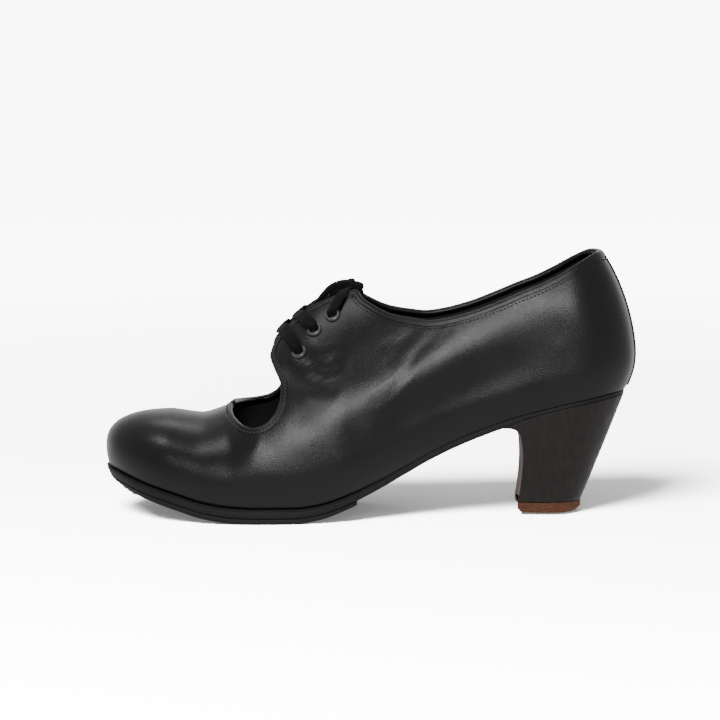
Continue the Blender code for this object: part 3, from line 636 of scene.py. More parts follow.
# A smooth curve through points, with so many steps between neighbours
def curve_through(points, steps):
    line = []
    last = len(points) - 1
    for i in range(last):
        a, b, c, d = points[max(i - 1, 0)], points[i], points[i + 1], points[min(i + 2, last)]
        for k in range(steps):
            t = k / steps
            bend = (2 * a - 5 * b + 4 * c - d) * t**2 + (3 * b - a - 3 * c + d) * t**3
            line.append(0.5 * (2 * b + (c - a) * t + bend))
    line.append(points[last])
    return line


# Even steps along a line, closed or open
def even_line(line, pitch, closed):
    points = line + [line[0]] if closed else line
    lengths = [(b - a).length for a, b in zip(points, points[1:])]
    total = sum(lengths)
    count = max(round(total / pitch), 2)
    places = []
    walked = 0.0
    k = 0
    for i in range(count if closed else count + 1):
        target = min(total * i / count, total)
        while k < len(lengths) - 1 and walked + lengths[k] < target:
            walked += lengths[k]
            k += 1
        places.append(points[k].lerp(points[k + 1], (target - walked) / max(lengths[k], 1e-9)))
    return places


def softened(values, passes, closed=True):
    count = len(values)
    for _ in range(passes):
        fresh = []
        for i in range(count):
            if not closed and i in (0, count - 1):
                fresh.append(values[i])
            else:
                fresh.append((values[i - 1] + 2 * values[i] + values[(i + 1) % count]) / 4)
        values = fresh
    return values


# Materials

def shader(name, roughness, metallic=0.0, specular=0.5):
    made = bpy.data.materials.new(name)
    made.use_nodes = True
    tree = made.node_tree
    body = tree.nodes["Principled BSDF"]
    body.inputs["Roughness"].default_value = roughness
    body.inputs["Metallic"].default_value = metallic
    body.inputs["Specular IOR Level"].default_value = specular
    return made, tree, body


def node(tree, kind, **values):
    made = tree.nodes.new(kind)
    for key, value in values.items():
        if hasattr(made, key):
            setattr(made, key, value)
        else:
            made.inputs[key.replace("_", " ")].default_value = value
    return made


# Position in the shoe's own metres, stretched by a scale for each axis
def coordinates(tree, scale=(1.0, 1.0, 1.0), source="Object"):
    where = tree.nodes.new("ShaderNodeTexCoord")
    mapping = node(tree, "ShaderNodeMapping", Scale=scale)
    tree.links.new(where.outputs[source], mapping.inputs["Vector"])
    return mapping.outputs["Vector"]


def noise(tree, vector, scale, detail=3.0, roughness=0.5):
    made = node(tree, "ShaderNodeTexNoise", Scale=scale, Detail=detail, Roughness=roughness)
    tree.links.new(vector, made.inputs["Vector"])
    return made.outputs["Fac"]


def ranged(tree, value, low, high, start=0.0, end=1.0):
    made = node(tree, "ShaderNodeMapRange", From_Min=start, From_Max=end, To_Min=low, To_Max=high)
    tree.links.new(value, made.inputs["Value"])
    return made.outputs["Result"]


def ramp(tree, value, stops):
    made = tree.nodes.new("ShaderNodeValToRGB")
    elements = made.color_ramp.elements
    while len(elements) < len(stops):
        elements.new(0.5)
    for element, (position, colour) in zip(elements, stops):
        element.position = position
        element.color = (*colour, 1.0)
    tree.links.new(value, made.inputs["Fac"])
    return made.outputs["Color"]


def total(tree, first, second, operation="ADD"):
    made = node(tree, "ShaderNodeMath", operation=operation)
    for socket, value in zip(made.inputs, (first, second)):
        if isinstance(value, float):
            socket.default_value = value
        else:
            tree.links.new(value, socket)
    return made.outputs["Value"]


def bump(tree, body, height, distance):
    made = node(tree, "ShaderNodeBump", Distance=distance, Strength=1.0)
    tree.links.new(height, made.inputs["Height"])
    tree.links.new(made.outputs["Normal"], body.inputs["Normal"])


# Smooth calf with a fine pebbled grain, broad soft waves and slightly uneven polish
def leather_finish(name, dark, light, roughness, grain):
    made, tree, body = shader(name, roughness)
    vector = coordinates(tree)
    cells = node(tree, "ShaderNodeTexVoronoi", feature="DISTANCE_TO_EDGE", Scale=1100.0)
    tree.links.new(vector, cells.inputs["Vector"])
    pebbles = ranged(tree, cells.outputs["Distance"], 0.0, 1.0, 0.0, 0.25)
    waves = noise(tree, coordinates(tree, (0.6, 1.0, 1.3)), 48.0, 1.5)
    height = total(tree, pebbles, total(tree, waves, LEATHER_WAVES, "MULTIPLY"))
    bump(tree, body, height, grain)
    cloud = noise(tree, vector, 38.0, 4.0)
    tree.links.new(ramp(tree, cloud, [(0.3, dark), (0.7, light)]), body.inputs["Base Color"])
    polish = noise(tree, vector, 60.0, 2.0)
    uneven = ranged(tree, polish, roughness - POLISH_RANGE, roughness + POLISH_RANGE, 0.3, 0.7)
    tree.links.new(uneven, body.inputs["Roughness"])
    return made


# Matt finish with a fine speckle, used for lining, thread, rubber, tip and the sole's edge
def matt_finish(name, dark, light, roughness, speckle, scale, stretch=(1.0, 1.0, 1.0)):
    made, tree, body = shader(name, roughness, 0.0, 0.35)
    vector = coordinates(tree, stretch)
    grains = noise(tree, vector, scale, 3.0)
    bump(tree, body, grains, speckle)
    tree.links.new(ramp(tree, grains, [(0.35, dark), (0.65, light)]), body.inputs["Base Color"])
    return made


# Stained wood with long upright grain under a satin varnish
def wood_finish(name, dark, light, roughness):
    made, tree, body = shader(name, roughness)
    vector = coordinates(tree, (1.0, 1.0, 0.10))
    streaks = noise(tree, vector, 520.0, 4.0, 0.6)
    tree.links.new(ramp(tree, streaks, [(0.35, dark), (0.62, light)]), body.inputs["Base Color"])
    bump(tree, body, streaks, 0.00006)
    uneven = ranged(tree, streaks, roughness + 0.10, roughness - 0.06, 0.3, 0.7)
    tree.links.new(uneven, body.inputs["Roughness"])
    return made


def metal_finish(name, colour, roughness, metallic):
    made, tree, body = shader(name, roughness, metallic)
    vector = coordinates(tree)
    scuffs = noise(tree, vector, 900.0, 4.0)
    worn = [min(c * 1.25, 1.0) for c in colour]
    tree.links.new(ramp(tree, scuffs, [(0.35, colour), (0.70, worn)]), body.inputs["Base Color"])
    uneven = ranged(tree, scuffs, roughness - 0.08, roughness + 0.15, 0.3, 0.7)
    tree.links.new(uneven, body.inputs["Roughness"])
    bump(tree, body, scuffs, 0.00004)
    return made


# Flat plaited cotton: two sets of slanting yarns over the route map. Its colour is darker in the grooves
# between the yarns, painted shade, with a random fuzz speckle.
def lace_finish(name, dark, light):
    made, tree, body = shader(name, 0.92, 0.0, 0.12)
    body.inputs["Sheen Weight"].default_value = 0.06
    body.inputs["Sheen Roughness"].default_value = 0.6
    vector = coordinates(tree, (1.0, 0.0128, 1.0), "UV")
    heights = []
    for slant in (0.9, -0.9):
        slanted = node(tree, "ShaderNodeMapping", Rotation=(0.0, 0.0, slant))
        tree.links.new(vector, slanted.inputs["Vector"])
        yarn = node(tree, "ShaderNodeTexWave", Scale=330.0, Distortion=0.6)
        tree.links.new(slanted.outputs["Vector"], yarn.inputs["Vector"])
        heights.append(yarn.outputs["Fac"])
    plait = total(tree, heights[0], heights[1], "MAXIMUM")
    fuzz = noise(tree, coordinates(tree), 2200.0, 3.0)
    height = total(tree, plait, total(tree, fuzz, 0.5, "MULTIPLY"))
    bump(tree, body, height, 0.00016)
    # Painted shade: dark where the weave is low, light on the yarns' crowns
    tree.links.new(ramp(tree, height, [(0.45, dark), (1.0, light)]), body.inputs["Base Color"])
    return made


# Height of the leather's waves against its grain, and how far the polish varies
LEATHER_WAVES = 3.0
POLISH_RANGE = 0.04

# Darker and lighter colour of each finish
BLACK_CALF = ((0.0030, 0.0030, 0.0031), (0.0046, 0.0046, 0.0047))
LINING = ((0.0240, 0.0240, 0.0235), (0.0380, 0.0372, 0.0360))
SOCK = ((0.0100, 0.0098, 0.0095), (0.0160, 0.0155, 0.0150))
SOLE_EDGE_BLACK = ((0.0090, 0.0090, 0.0090), (0.0150, 0.0150, 0.0150))
RUBBER = ((0.0100, 0.0100, 0.0100), (0.0160, 0.0160, 0.0160))
STAINED_WOOD = ((0.0060, 0.0038, 0.0030), (0.0140, 0.0082, 0.0062))
BARE_WOOD = ((0.045, 0.014, 0.008), (0.075, 0.026, 0.015))
TOP_PIECE = ((0.100, 0.034, 0.014), (0.190, 0.072, 0.034))
COTTON = ((0.0022, 0.0024, 0.0024), (0.0078, 0.0086, 0.0084))
THREAD = ((0.0090, 0.0090, 0.0092), (0.0200, 0.0200, 0.0205))
# Lighter copy of the same black thread, a painted highlight for the stitches on the strip
THREAD_PAINTED_HIGHLIGHT = ((0.050, 0.050, 0.051), (0.095, 0.095, 0.097))

FINISH = {
    "leather": leather_finish("calf", *BLACK_CALF, 0.29, 0.00002),
    "binding": leather_finish("binding", *BLACK_CALF, 0.34, 0.00002),
    "lining": matt_finish("lining", *LINING, 0.75, 0.00008, 1500.0),
    "sock": leather_finish("sock_lining", *SOCK, 0.70, 0.00008),
    "edge": matt_finish("sole_edge", *SOLE_EDGE_BLACK, 0.55, 0.00008, 900.0, (0.3, 0.3, 2.5)),
    "rubber": matt_finish("rubber", *RUBBER, 0.62, 0.00010, 1600.0),
    "wood": wood_finish("stained_wood", *STAINED_WOOD, 0.46),
    "bare": wood_finish("bare_edge", *BARE_WOOD, 0.55),
    "tip": matt_finish("top_piece", *TOP_PIECE, 0.62, 0.00012, 700.0, (0.4, 0.4, 3.0)),
    "nail": metal_finish("nail", (0.52, 0.52, 0.53), 0.34, 1.0),
    "eyelet": metal_finish("eyelet", (0.110, 0.110, 0.113), 0.13, 0.5),
    "lace": lace_finish("cotton_lace", *COTTON),
    "thread": matt_finish("thread", *THREAD, 0.45, 0.00005, 2500.0),
    "thread_painted_highlight": matt_finish("thread_painted_highlight", *THREAD_PAINTED_HIGHLIGHT, 0.45, 0.00005, 2500.0),
}


# The upper

# An open edge closed by a level line above it
def closed_above(edge, level):
    return edge + [Vector((edge[-1].x, level)), Vector((edge[0].x, level))]


def collar_height(along):
    return feather(x_at(along)) + follow(COLLAR_LINE, along, 1) * COUNTER_DEPTH


def collar_outline():
    edge = []
    first = COLLAR_LINE[0][0]
    last = COLLAR_LINE[-1][0]
    for i in range(COLLAR_STEPS + 1):
        along = first + (last - first) * i / COLLAR_STEPS
        edge.append(Vector((x_at(along), collar_height(along))))
    return closed_above(edge, CUT_TOP)


# Places in the tables of edges and creases, seen from the side
def side_route(table):
    base = feather(x_at(CUTOUT_FRONT))
    return [Vector((x_at(along), base + height * INSTEP_DEPTH)) for along, height in table]


def edge_outline(table):
    above = feather(x_at(CUTOUT_FRONT)) + EDGE_CUT_TOP * INSTEP_DEPTH
    return closed_above(curve_through(side_route(table), OUTLINE_STEPS), above)


def throat_outline():
    half = THROAT_GAP / 2
    corners = [Vector((x_at(along), half * (1 + flare))) for along, flare in THROAT_EDGE]
    edge = curve_through(corners, OUTLINE_STEPS)
    return [Vector((p.x, -p.y)) for p in edge] + list(reversed(edge))


def prism(name, outline, plane, low, high, finish):
    count = len(outline)
    points = []
    for level in (low, high):
        points += [(p.x, level, p.y) if plane == "XZ" else (p.x, p.y, level) for p in outline]
    faces = cap_faces(0, 2, count) + grid_faces(0, 2, count, close_columns=True)
    return mesh_object(name, points, faces, [finish])


def boolean(target, tool, operation):
    step = target.modifiers.new(tool.name, "BOOLEAN")
    step.operation = operation
    step.solver = "EXACT"
    step.material_mode = "TRANSFER"
    step.object = tool


def settle(target):
    evaluated = target.evaluated_get(bpy.context.evaluated_depsgraph_get())
    mesh = bpy.data.meshes.new_from_object(evaluated)
    target.modifiers.clear()
    target.data = mesh


# Outer and inner surfaces of the wall, as points and faces
def wall_surface(ring, grow):
    rows = LOWER_ROWS + UPPER_ROWS + 1
    points = [column_point(column, row, grow) for column in ring for row in range(rows)]
    return points, grid_faces(0, len(ring), rows, close_rows=True)


# How far the creases push the leather in or out at a place: each is a trough with a low rise
# beside it, or the reverse, and fades at its ends
def crease_depth(point):
    moved = 0.0
    here = Vector((point.x, point.z))
    for side, line, width, depth in CREASES:
        if point.y * side < 0:
            continue
        route = side_route(line)
        if min((here - p).length for p in route) > 6 * width + CREASE_NEAR:
            continue
        route = curve_through(route, ROUTE_STEPS)
        gap = min((here - p).length for p in route)
        for a, b in zip(route, route[1:]):
            run = b - a
            share = min(max((here - a).dot(run) / run.length_squared, 0.0), 1.0)
            gap = min(gap, (here - a - run * share).length)
        ends = min((here - route[0]).length, (here - route[-1]).length)
        fade = min(ends / (4 * width), 1.0) ** 0.5
        share = gap / width
        moved += depth * fade * (-math.exp(-share**2) + 0.45 * math.exp(-((share - 2.0) ** 2)))
    return moved


# Ordered closed line of the edges between faces of two materials
def border(mesh, first, second):
    shape = bmesh.new()
    shape.from_mesh(mesh)
    ahead = {}
    for edge in shape.edges:
        kinds = sorted(face.material_index for face in edge.link_faces)
        if kinds == sorted((first, second)):
            a, b = edge.verts
            ahead.setdefault(a.index, []).append(b.index)
            ahead.setdefault(b.index, []).append(a.index)
    places = {v.index: v.co.copy() for v in shape.verts}
    shape.free()
    lines = []
    while ahead:
        start = next(iter(ahead))
        line = [start]
        while ahead.get(line[-1]):
            here = line[-1]
            there = ahead[here].pop()
            ahead[there].remove(here)
            if there == start:
                break
            line.append(there)
        ahead = {k: v for k, v in ahead.items() if v}
        lines.append([places[i] for i in line])
    return max(lines, key=len)


def build_upper():
    ring = columns()
    outer_points, outer_faces = wall_surface(ring, 0.0)
    inner_points, inner_faces = wall_surface(ring, -UPPER_WALL)
    skin = BVHTree.FromPolygons(outer_points, outer_faces)
    shift = len(outer_points)
    rows = LOWER_ROWS + UPPER_ROWS + 1
    faces = list(outer_faces)
    faces += [tuple(i + shift for i in reversed(face)) for face in inner_faces]
    for i in range(len(ring)):
        a = i * rows
        b = (i + 1) % len(ring) * rows
        faces.append((a, a + shift, b + shift, b))
    slots = [0] * len(outer_faces) + [1] * (len(faces) - len(outer_faces))
    points = outer_points + inner_points
    upper = mesh_object("upper_leather", points, faces, [FINISH["leather"], FINISH["lining"]], 40.0, slots)
    far = BALL_WIDTH
    low = feather(x_at(CUTOUT_FRONT)) + THROAT_CUT_LOW * INSTEP_DEPTH
    rim = FINISH["binding"]
    tools = [
        prism("collar_cut", collar_outline(), "XZ", -far, far, rim),
        prism("lateral_cut", edge_outline(LATERAL_EDGE), "XZ", -far, SEAM_GAP, rim),
        prism("medial_cut", edge_outline(MEDIAL_EDGE), "XZ", -SEAM_GAP, far, rim),
        prism("throat_cut", throat_outline(), "XY", low, CUT_TOP, rim),
    ]
    for tool in tools[1:]:
        boolean(tools[0], tool, "UNION")
    settle(tools[0])
    boolean(upper, tools[0], "DIFFERENCE")
    settle(upper)
    for tool in tools:
        bpy.data.objects.remove(tool)
    edge_line = border(upper.data, 0, 2)
    for vertex in upper.data.vertices:
        _, normal, _, gap = skin.find_nearest(vertex.co)
        if gap < UPPER_WALL / 2:
            vertex.co += normal * crease_depth(vertex.co)
    upper.data.shade_smooth()
    upper.data.set_sharp_from_angle(angle=math.radians(40.0))
    place(upper, "leather", "upper")
    return skin, edge_line, upper


# Frames along the rim: place, outward normal, and the way into the leather
def rim_frames(skin, upper, edge_line):
    line = softened(even_line(edge_line, RIM_PITCH, True), 3)
    normals = softened([skin.find_nearest(p)[1] for p in line], 6)
    cut = BVHTree.FromObject(upper, bpy.context.evaluated_depsgraph_get())
    votes = 0.0
    frames = []
    count = len(line)
    for i, point in enumerate(line):
        run = (line[(i + 1) % count] - line[i - 1]).normalized()
        normal = normals[i].normalized()
        inward = normal.cross(run).normalized()
        frames.append((point, normal, inward))
        ahead = cut.find_nearest(point + inward * BINDING_WIDTH)[3]
        behind = cut.find_nearest(point - inward * BINDING_WIDTH)[3]
        votes += behind - ahead
    if votes < 0:
        frames = [(p, n, -b) for p, n, b in frames]
    return frames


# A folded strip of leather round the edge, with a thin rolled bead on the rim itself
def build_binding(frames):
    sections = [[p + b * (into * MM) + n * (over * MM) for into, over in RIM_PROFILE] for p, n, b in frames]
    place(sweep("edge_binding", sections, FINISH["binding"], closed=True, sharp=60.0), "leather")


# Rows of stitches: on the strip round the cut-out and the tabs, on the leather at the collar. The strip's
# stitches take a lighter copy of the thread, a painted highlight.
def build_edge_stitches(frames, skin):
    start = next(i for i, (p, n, b) in enumerate(frames) if p.x < COLLAR_START <= frames[i - 1][0].x)
    ring = frames[start:] + frames[:start]
    runs = []
    for i, (p, n, b) in enumerate(ring):
        collar = p.x > COLLAR_START
        if not runs or runs[-1][0] != collar:
            runs.append((collar, []))
        runs[-1][1].append(p + b * (COLLAR_STITCH if collar else BAND_STITCH))
    for k, (collar, line) in enumerate(runs):
        if len(line) > 10:
            lift = 0.0 if collar else BAND_HEIGHT
            # The strip's stitches get the lighter thread: painted highlight
            thread = "thread" if collar else "thread_painted_highlight"
            build_stitches(f"edge_stitches_{k + 1}", line, skin, thread, lift)


# Small thread stitches along a line, half sunk in the leather
def build_stitches(name, line, skin, thread, lift=0.0):
    places = even_line(line, STITCH_PITCH, False)
    sides = STITCH_SIDES
    points = []
    faces = []
    for a, b in zip(places, places[1:]):
        run = (b - a).normalized()
        seat, normal, _, _ = skin.find_nearest(a.lerp(b, 0.5))
        seat = seat + normal * (lift + crease_depth(seat))
        normal = (normal - run * normal.dot(run)).normalized()
        side = normal.cross(run)
        start = len(points)
        for step, share, over in STITCH_RINGS:
            girth = STITCH_RADIUS * share
            middle = seat + run * (step * STITCH_LENGTH / 2) + normal * (over * STITCH_RADIUS)
            for k in range(sides):
                angle = 2 * math.pi * k / sides
                points.append(middle + side * (girth * math.cos(angle)) + normal * (girth * math.sin(angle)))
        faces += grid_faces(start, len(STITCH_RINGS), sides, close_columns=True)
        faces += cap_faces(start, len(STITCH_RINGS), sides)
    place(mesh_object(name, points, faces, [FINISH[thread]], 80.0), "leather")


# Narrow strip down the back of the heel
def build_back_strip(skin):
    half = BACK_STRIP_WIDTH / 2
    low = feather(x_at(1.0)) + UPPER_WALL / 2
    high = collar_height(BACK_STRIP_TOP)
    sections = []
    for i in range(BACK_STRIP_ROWS + 1):
        z = low + (high - low) * i / BACK_STRIP_ROWS
        ring = []
        for share, rise in BACK_STRIP_PROFILE:
            hit, normal, _, _ = skin.ray_cast(Vector((LENGTH, share * half, z)), Vector((-1.0, 0.0, 0.0)))
            if hit is None:
                break
            ring.append(hit + normal * (rise * BINDING_RISE))
        if len(ring) == len(BACK_STRIP_PROFILE):
            sections.append(ring)
    place(sweep("back_strip", sections, FINISH["binding"], sharp=50.0), "leather")
    strip = NearestLine(sections)
    for word, inner, outer in (("lateral", 3, 2), ("medial", 5, 6)):
        line = [section[inner].lerp(section[outer], BACK_STITCH_PLACE) for section in sections]
        build_stitches("back_stitches_" + word, line, strip, "thread", BACK_STITCH_LIFT)


# Gives stitches on the back strip its own surface to sit on
class NearestLine:
    def __init__(self, sections):
        top = [section[1:-2] for section in sections]
        points = [p for section in top for p in section]
        self.tree = BVHTree.FromPolygons(points, grid_faces(0, len(top), len(top[0])))

    def find_nearest(self, point):
        hit, normal, index, gap = self.tree.find_nearest(point)
        return hit, normal if normal.x > 0 else -normal, index, gap


# Soles and heel

# Lateral and medial points of the last's foot outline, toe to heel
def foot_pairs(margin, end=1.0):
    quarter = math.pi / 2
    toe_half = TOE_COLUMNS // 2
    heel_half = HEEL_COLUMNS // 2
    pairs = []
    for i in range(toe_half):
        turn = quarter * (1 - i / toe_half)
        pairs.append((toe_column(turn), toe_column(math.pi - turn)))
    steps = body_steps() if end >= 1.0 else [a for a in body_steps() if a < end] + [end]
    pairs += [(body_column(a, -1), body_column(a, 1)) for a in steps]
    if end >= 1.0:
        for i in range(1, heel_half + 1):
            turn = quarter * i / heel_half
            pairs.append((heel_column(turn), heel_column(math.pi - turn)))
    outline = []
    for lateral, medial in pairs:
        places = []
        for column in (lateral, medial):
            foot = column["centre"] + column["facing"] * column["reach"] * column["tuck"]
            places.append(foot + column["facing"] * margin(along_at(foot.x)))
        outline.append(places)
    return outline


# A solid from levels of lateral and medial pairs, with rows across its top and bottom
def stacked(name, levels, finishes, slot_of=None):
    count = len(levels[0])
    points = [point for level in levels for pair in level for point in pair]
    faces = []
    slots = []

    def index(level, pair, side):
        return (level * count + pair) * 2 + side

    last = len(levels) - 1
    for pair in range(count - 1):
        for level in (0, last):
            faces.append((
                index(level, pair, 0), index(level, pair + 1, 0),
                index(level, pair + 1, 1), index(level, pair, 1),
            ))
            slots.append(0)
    for level in range(last):
        for pair in range(count - 1):
            for side in (0, 1):
                faces.append((
                    index(level, pair, side), index(level, pair + 1, side),
                    index(level + 1, pair + 1, side), index(level + 1, pair, side),
                ))
                slots.append(slot_of(level, pair) if slot_of else 0)
        for pair in (0, count - 1):
            faces.append((
                index(level, pair, 0), index(level, pair, 1),
                index(level + 1, pair, 1), index(level + 1, pair, 0),
            ))
            slots.append(0)
    return mesh_object(name, points, faces, finishes, 35.0, slots)


def sole_margin(along, bevel):
    return follow(SOLE_LAYERS, along, 2) * SOLE_EDGE - follow(SOLE_LAYERS, along, 3) * TOE_BEVEL * bevel


def outsole_bottom(x):
    return feather(x) - SEAM_GAP - follow(SOLE_LAYERS, along_at(x), 1) * OUTSOLE_THICK


# Levels between a bottom and a top, each with its share of the height and its inset. The
# bevel under the toe runs from one share of its depth at the bottom to another at the top.
def moulded(profile, bevels, bottom, top, end=1.0):
    levels = []
    low_bevel, high_bevel = bevels
    for share, inset in profile:
        bevel = high_bevel + (low_bevel - high_bevel) * (1.0 - share) ** BEVEL_CURVE
        outline = foot_pairs(lambda along: sole_margin(along, bevel) - inset, end)
        level = []
        for pair in outline:
            low = [bottom(p.x) for p in pair]
            high = [top(p.x) for p in pair]
            level.append([Vector((p.x, p.y, a + (b - a) * share)) for p, a, b in zip(pair, low, high)])
        levels.append(level)
    return levels


def build_soles():
    edge = [
        # share of the thickness, inset
        (0.00, 0.50 * MM), (0.05, 0.20 * MM), (0.12, 0.05 * MM), (0.40, 0.0), (0.60, 0.0), (0.78, 0.05 * MM),
        (0.82, 0.30 * MM), (0.86, 0.05 * MM), (0.93, 0.10 * MM), (0.98, 0.35 * MM), (1.00, 0.70 * MM),
    ]
    levels = moulded(edge, (LAYER_BEVEL, 0.0), outsole_bottom, lambda x: feather(x) - SEAM_GAP)
    place(stacked("outsole_leather", levels, [FINISH["edge"]]), "outsole", "outsole")

    end = x_at(HALF_SOLE_END)

    def tread(x):
        thin = min(max((x - end + HALF_SOLE_FEATHER) / HALF_SOLE_FEATHER, 0.0), 1.0)
        return HALF_SOLE_THICK + thin * (HALF_SOLE_STEP - HALF_SOLE_THICK)

    edge = [
        # share of the thickness, inset
        (0.00, 0.45 * MM), (0.10, 0.15 * MM), (0.25, 0.0), (0.85, 0.0), (0.96, 0.15 * MM), (1.00, 0.45 * MM),
    ]
    levels = moulded(
        edge, (1.0, LAYER_BEVEL), lambda x: outsole_bottom(x) - SEAM_GAP - tread(x),
        lambda x: outsole_bottom(x) - SEAM_GAP / 3, HALF_SOLE_END,
    )
    place(stacked("half_sole_rubber", levels, [FINISH["rubber"]]), "rubber", "half_sole")

    inside = -UPPER_WALL - 2 * SEAM_GAP
    levels = []
    for share, inset in ((0.0, 0.0), (0.7, 0.0), (0.92, 0.3 * MM), (1.0, 0.9 * MM)):
        rise = INSOLE_THICK * share
        outline = foot_pairs(lambda along: inside - inset)
        levels.append([[Vector((p.x, p.y, feather(p.x) + rise)) for p in pair] for pair in outline])
    place(stacked("sock_lining", levels, [FINISH["sock"]]), "lining", "insole")


# Outline of the heel at a share of its height, front to back in pairs
def heel_outline(share, inset=0.0):
    top_back = x_at(1.0) - (1 - HEEL_POINT["tuck"]) * (x_at(1.0) - x_at(HEEL_AXIS)) - HEEL_TOP_INSET
    tip_back = HEEL_TIP_FRONT + HEEL_TIP_LENGTH
    back = tip_back + (top_back - tip_back) * share - inset
    front = HEEL_TIP_FRONT + BREAST_BOW * math.sin(math.pi * share)
    front += inset - BREAST_FLARE * share**BREAST_CURVE
    flank = body_column(HEEL_AXIS, -1)
    top_half = flank["reach"] * flank["tuck"] - HEEL_TOP_INSET
    half = HEEL_TIP_WIDTH / 2 + (top_half - HEEL_TIP_WIDTH / 2) * share**HEEL_FLARE_CURVE - inset
    middle = front + (back - front) * HEEL_WIDEST
    hollow = BREAST_HOLLOW * (BREAST_HOLLOW_LOW + (1 - BREAST_HOLLOW_LOW) * share)
    breast_half = BREAST_CORNER[0][0] * half
    pairs = []
    for k in range(BREAST_STEPS):
        across = k / BREAST_STEPS
        pairs.append((breast_half * across, front + hollow * (1 - across**2)))
    pairs += [(wide * half, front + into * MM) for wide, into in BREAST_CORNER]
    pairs += [(wide * half, front + (middle - front) * way) for wide, way in HEEL_FLANK]
    power = 2 / HEEL_ROUND
    for i in range(HEEL_ROUND_STEPS + 1):
        turn = math.pi / 2 * i / HEEL_ROUND_STEPS
        across = half * max(math.cos(turn), 0.0) ** power if i < HEEL_ROUND_STEPS else 0.0
        pairs.append((across, middle + (back - middle) * math.sin(turn) ** power))
    return [(Vector((x, -y)), Vector((x, y))) for y, x in pairs]


def build_heel():
    floor = NAIL_PROUD + HEEL_TIP_THICK + SEAM_GAP
    levels = []
    shares = [1 - (1 - i / HEEL_LEVELS) ** HEEL_LEVEL_CURVE for i in range(HEEL_LEVELS + 1)]
    shares = [0.0] + [HEEL_LEVEL_EDGE + (1 - 2 * HEEL_LEVEL_EDGE) * share for share in shares] + [1.0]
    for k, share in enumerate(shares):
        inset = HEEL_EDGE if k in (0, len(shares) - 1) else 0.0
        level = []
        for pair in heel_outline(share, inset):
            heights = [floor + (outsole_bottom(p.x) - SEAM_GAP / 3 - floor) * share for p in pair]
            level.append([Vector((p.x, p.y, z)) for p, z in zip(pair, heights)])
        levels.append(level)
    woods = [FINISH["wood"], FINISH["bare"]]
    heel = stacked("heel_block", levels, woods, lambda level, pair: 1 if pair <= BREAST_STEPS else 0)
    place(heel, "wood", "heel")
    levels = []
    for height, chamfer, inset in (
        (0.0, 1.0, HEEL_EDGE), (0.06, 0.9, 0.0), (0.4, 0.0, 0.0), (0.95, 0.0, 0.0), (1.0, 0.0, HEEL_EDGE / 2)
    ):
        level = []
        for pair in heel_outline(0.0, inset):
            ahead = 1.0 - (pair[0].x - HEEL_TIP_FRONT) / HEEL_TIP_LENGTH * 2.0
            shift = HEEL_TIP_CHAMFER * chamfer * ahead
            z = NAIL_PROUD + (HEEL_TIP_THICK + 2 * SEAM_GAP / 3) * height
            level.append([Vector((p.x + shift, p.y, z)) for p in pair])
        levels.append(level)
    place(stacked("top_piece", levels, [FINISH["tip"]]), "tip", "heel_tip")


# A shape turned about a frame's Z axis from a profile of radius and height
def turned(profile, sides, where, points, faces, ring=False):
    faces += grid_faces(len(points), sides, len(profile), True, ring)
    for k in range(sides):
        angle = 2 * math.pi * k / sides
        points += [where @ Vector((r * math.cos(angle), r * math.sin(angle), h)) for r, h in profile]


# Domed nail heads, each where its solid lies
def build_nails():
    profile = [(share * NAIL_RADIUS, height * MM) for share, height in NAIL_PROFILE]
    for word in ("heel_nail", "toe_nail"):
        nodes = sorted(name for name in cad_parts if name.startswith(word))
        points = []
        faces = []
        for name in nodes:
            low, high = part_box(name)
            x = (low.x + high.x) / 2
            slope = 0.0
            if word == "toe_nail":
                slope = (outsole_bottom(x + 2 * PROBE) - outsole_bottom(x - 2 * PROBE)) / (4 * PROBE)
            where = Matrix.Translation(Vector((x, (low.y + high.y) / 2, low.z)))
            where = where @ Matrix.Rotation(-math.atan(slope), 4, "Y")
            turned(profile, NAIL_SIDES, where, points, faces)
        place(mesh_object(word + "_heads", points, faces, [FINISH["nail"]], 50.0), "nail", *nodes)


def build_eyelets():
    profile = [
        (EYELET_HOLE, -1.6 * MM), (EYELET_HOLE, 0.6 * MM), (EYELET_HOLE + 0.12 * MM, 0.95 * MM),
        (EYELET_HOLE + 0.45 * MM, 1.20 * MM), (EYELET_HOLE + 0.85 * MM, 1.15 * MM),
        (EYELET_RADIUS - 0.15 * MM, 0.75 * MM), (EYELET_RADIUS, 0.40 * MM),
        (EYELET_RADIUS - 0.1 * MM, -0.1 * MM), (EYELET_HOLE + 0.5 * MM, -0.2 * MM),
        (EYELET_HOLE + 0.5 * MM, -1.6 * MM),
    ]
    for row in range(len(EYELETS)):
        for side, word in ((-1, "lateral"), (1, "medial")):
            points = []
            faces = []
            turned(profile, EYELET_SIDES, eyelet_frame(row, side), points, faces, ring=True)
            name = f"{word}_{row + 1}"
            ring = mesh_object("ring_" + name, points, faces, [FINISH["eyelet"]], 50.0)
            place(ring, "eyelet", "eyelet_" + name)


# The lace

# One cross-section of flat lace: an oblong with round corners about its middle
def lace_ring(middle, wide, normal, width, thick):
    ring = []
    for k in range(LACE_SIDES):
        angle = 2 * math.pi * k / LACE_SIDES
        across = math.copysign(abs(math.cos(angle)) ** LACE_SQUARE[0], math.cos(angle))
        over = math.copysign(abs(math.sin(angle)) ** LACE_SQUARE[1], math.sin(angle))
        ring.append(middle + wide * (across * width / 2) + normal * (over * thick / 2))
    return ring


def lace_piece(name, rings, *nodes, closed=False):
    place(sweep(name, rings, FINISH["lace"], closed, 70.0), "lace", *nodes)


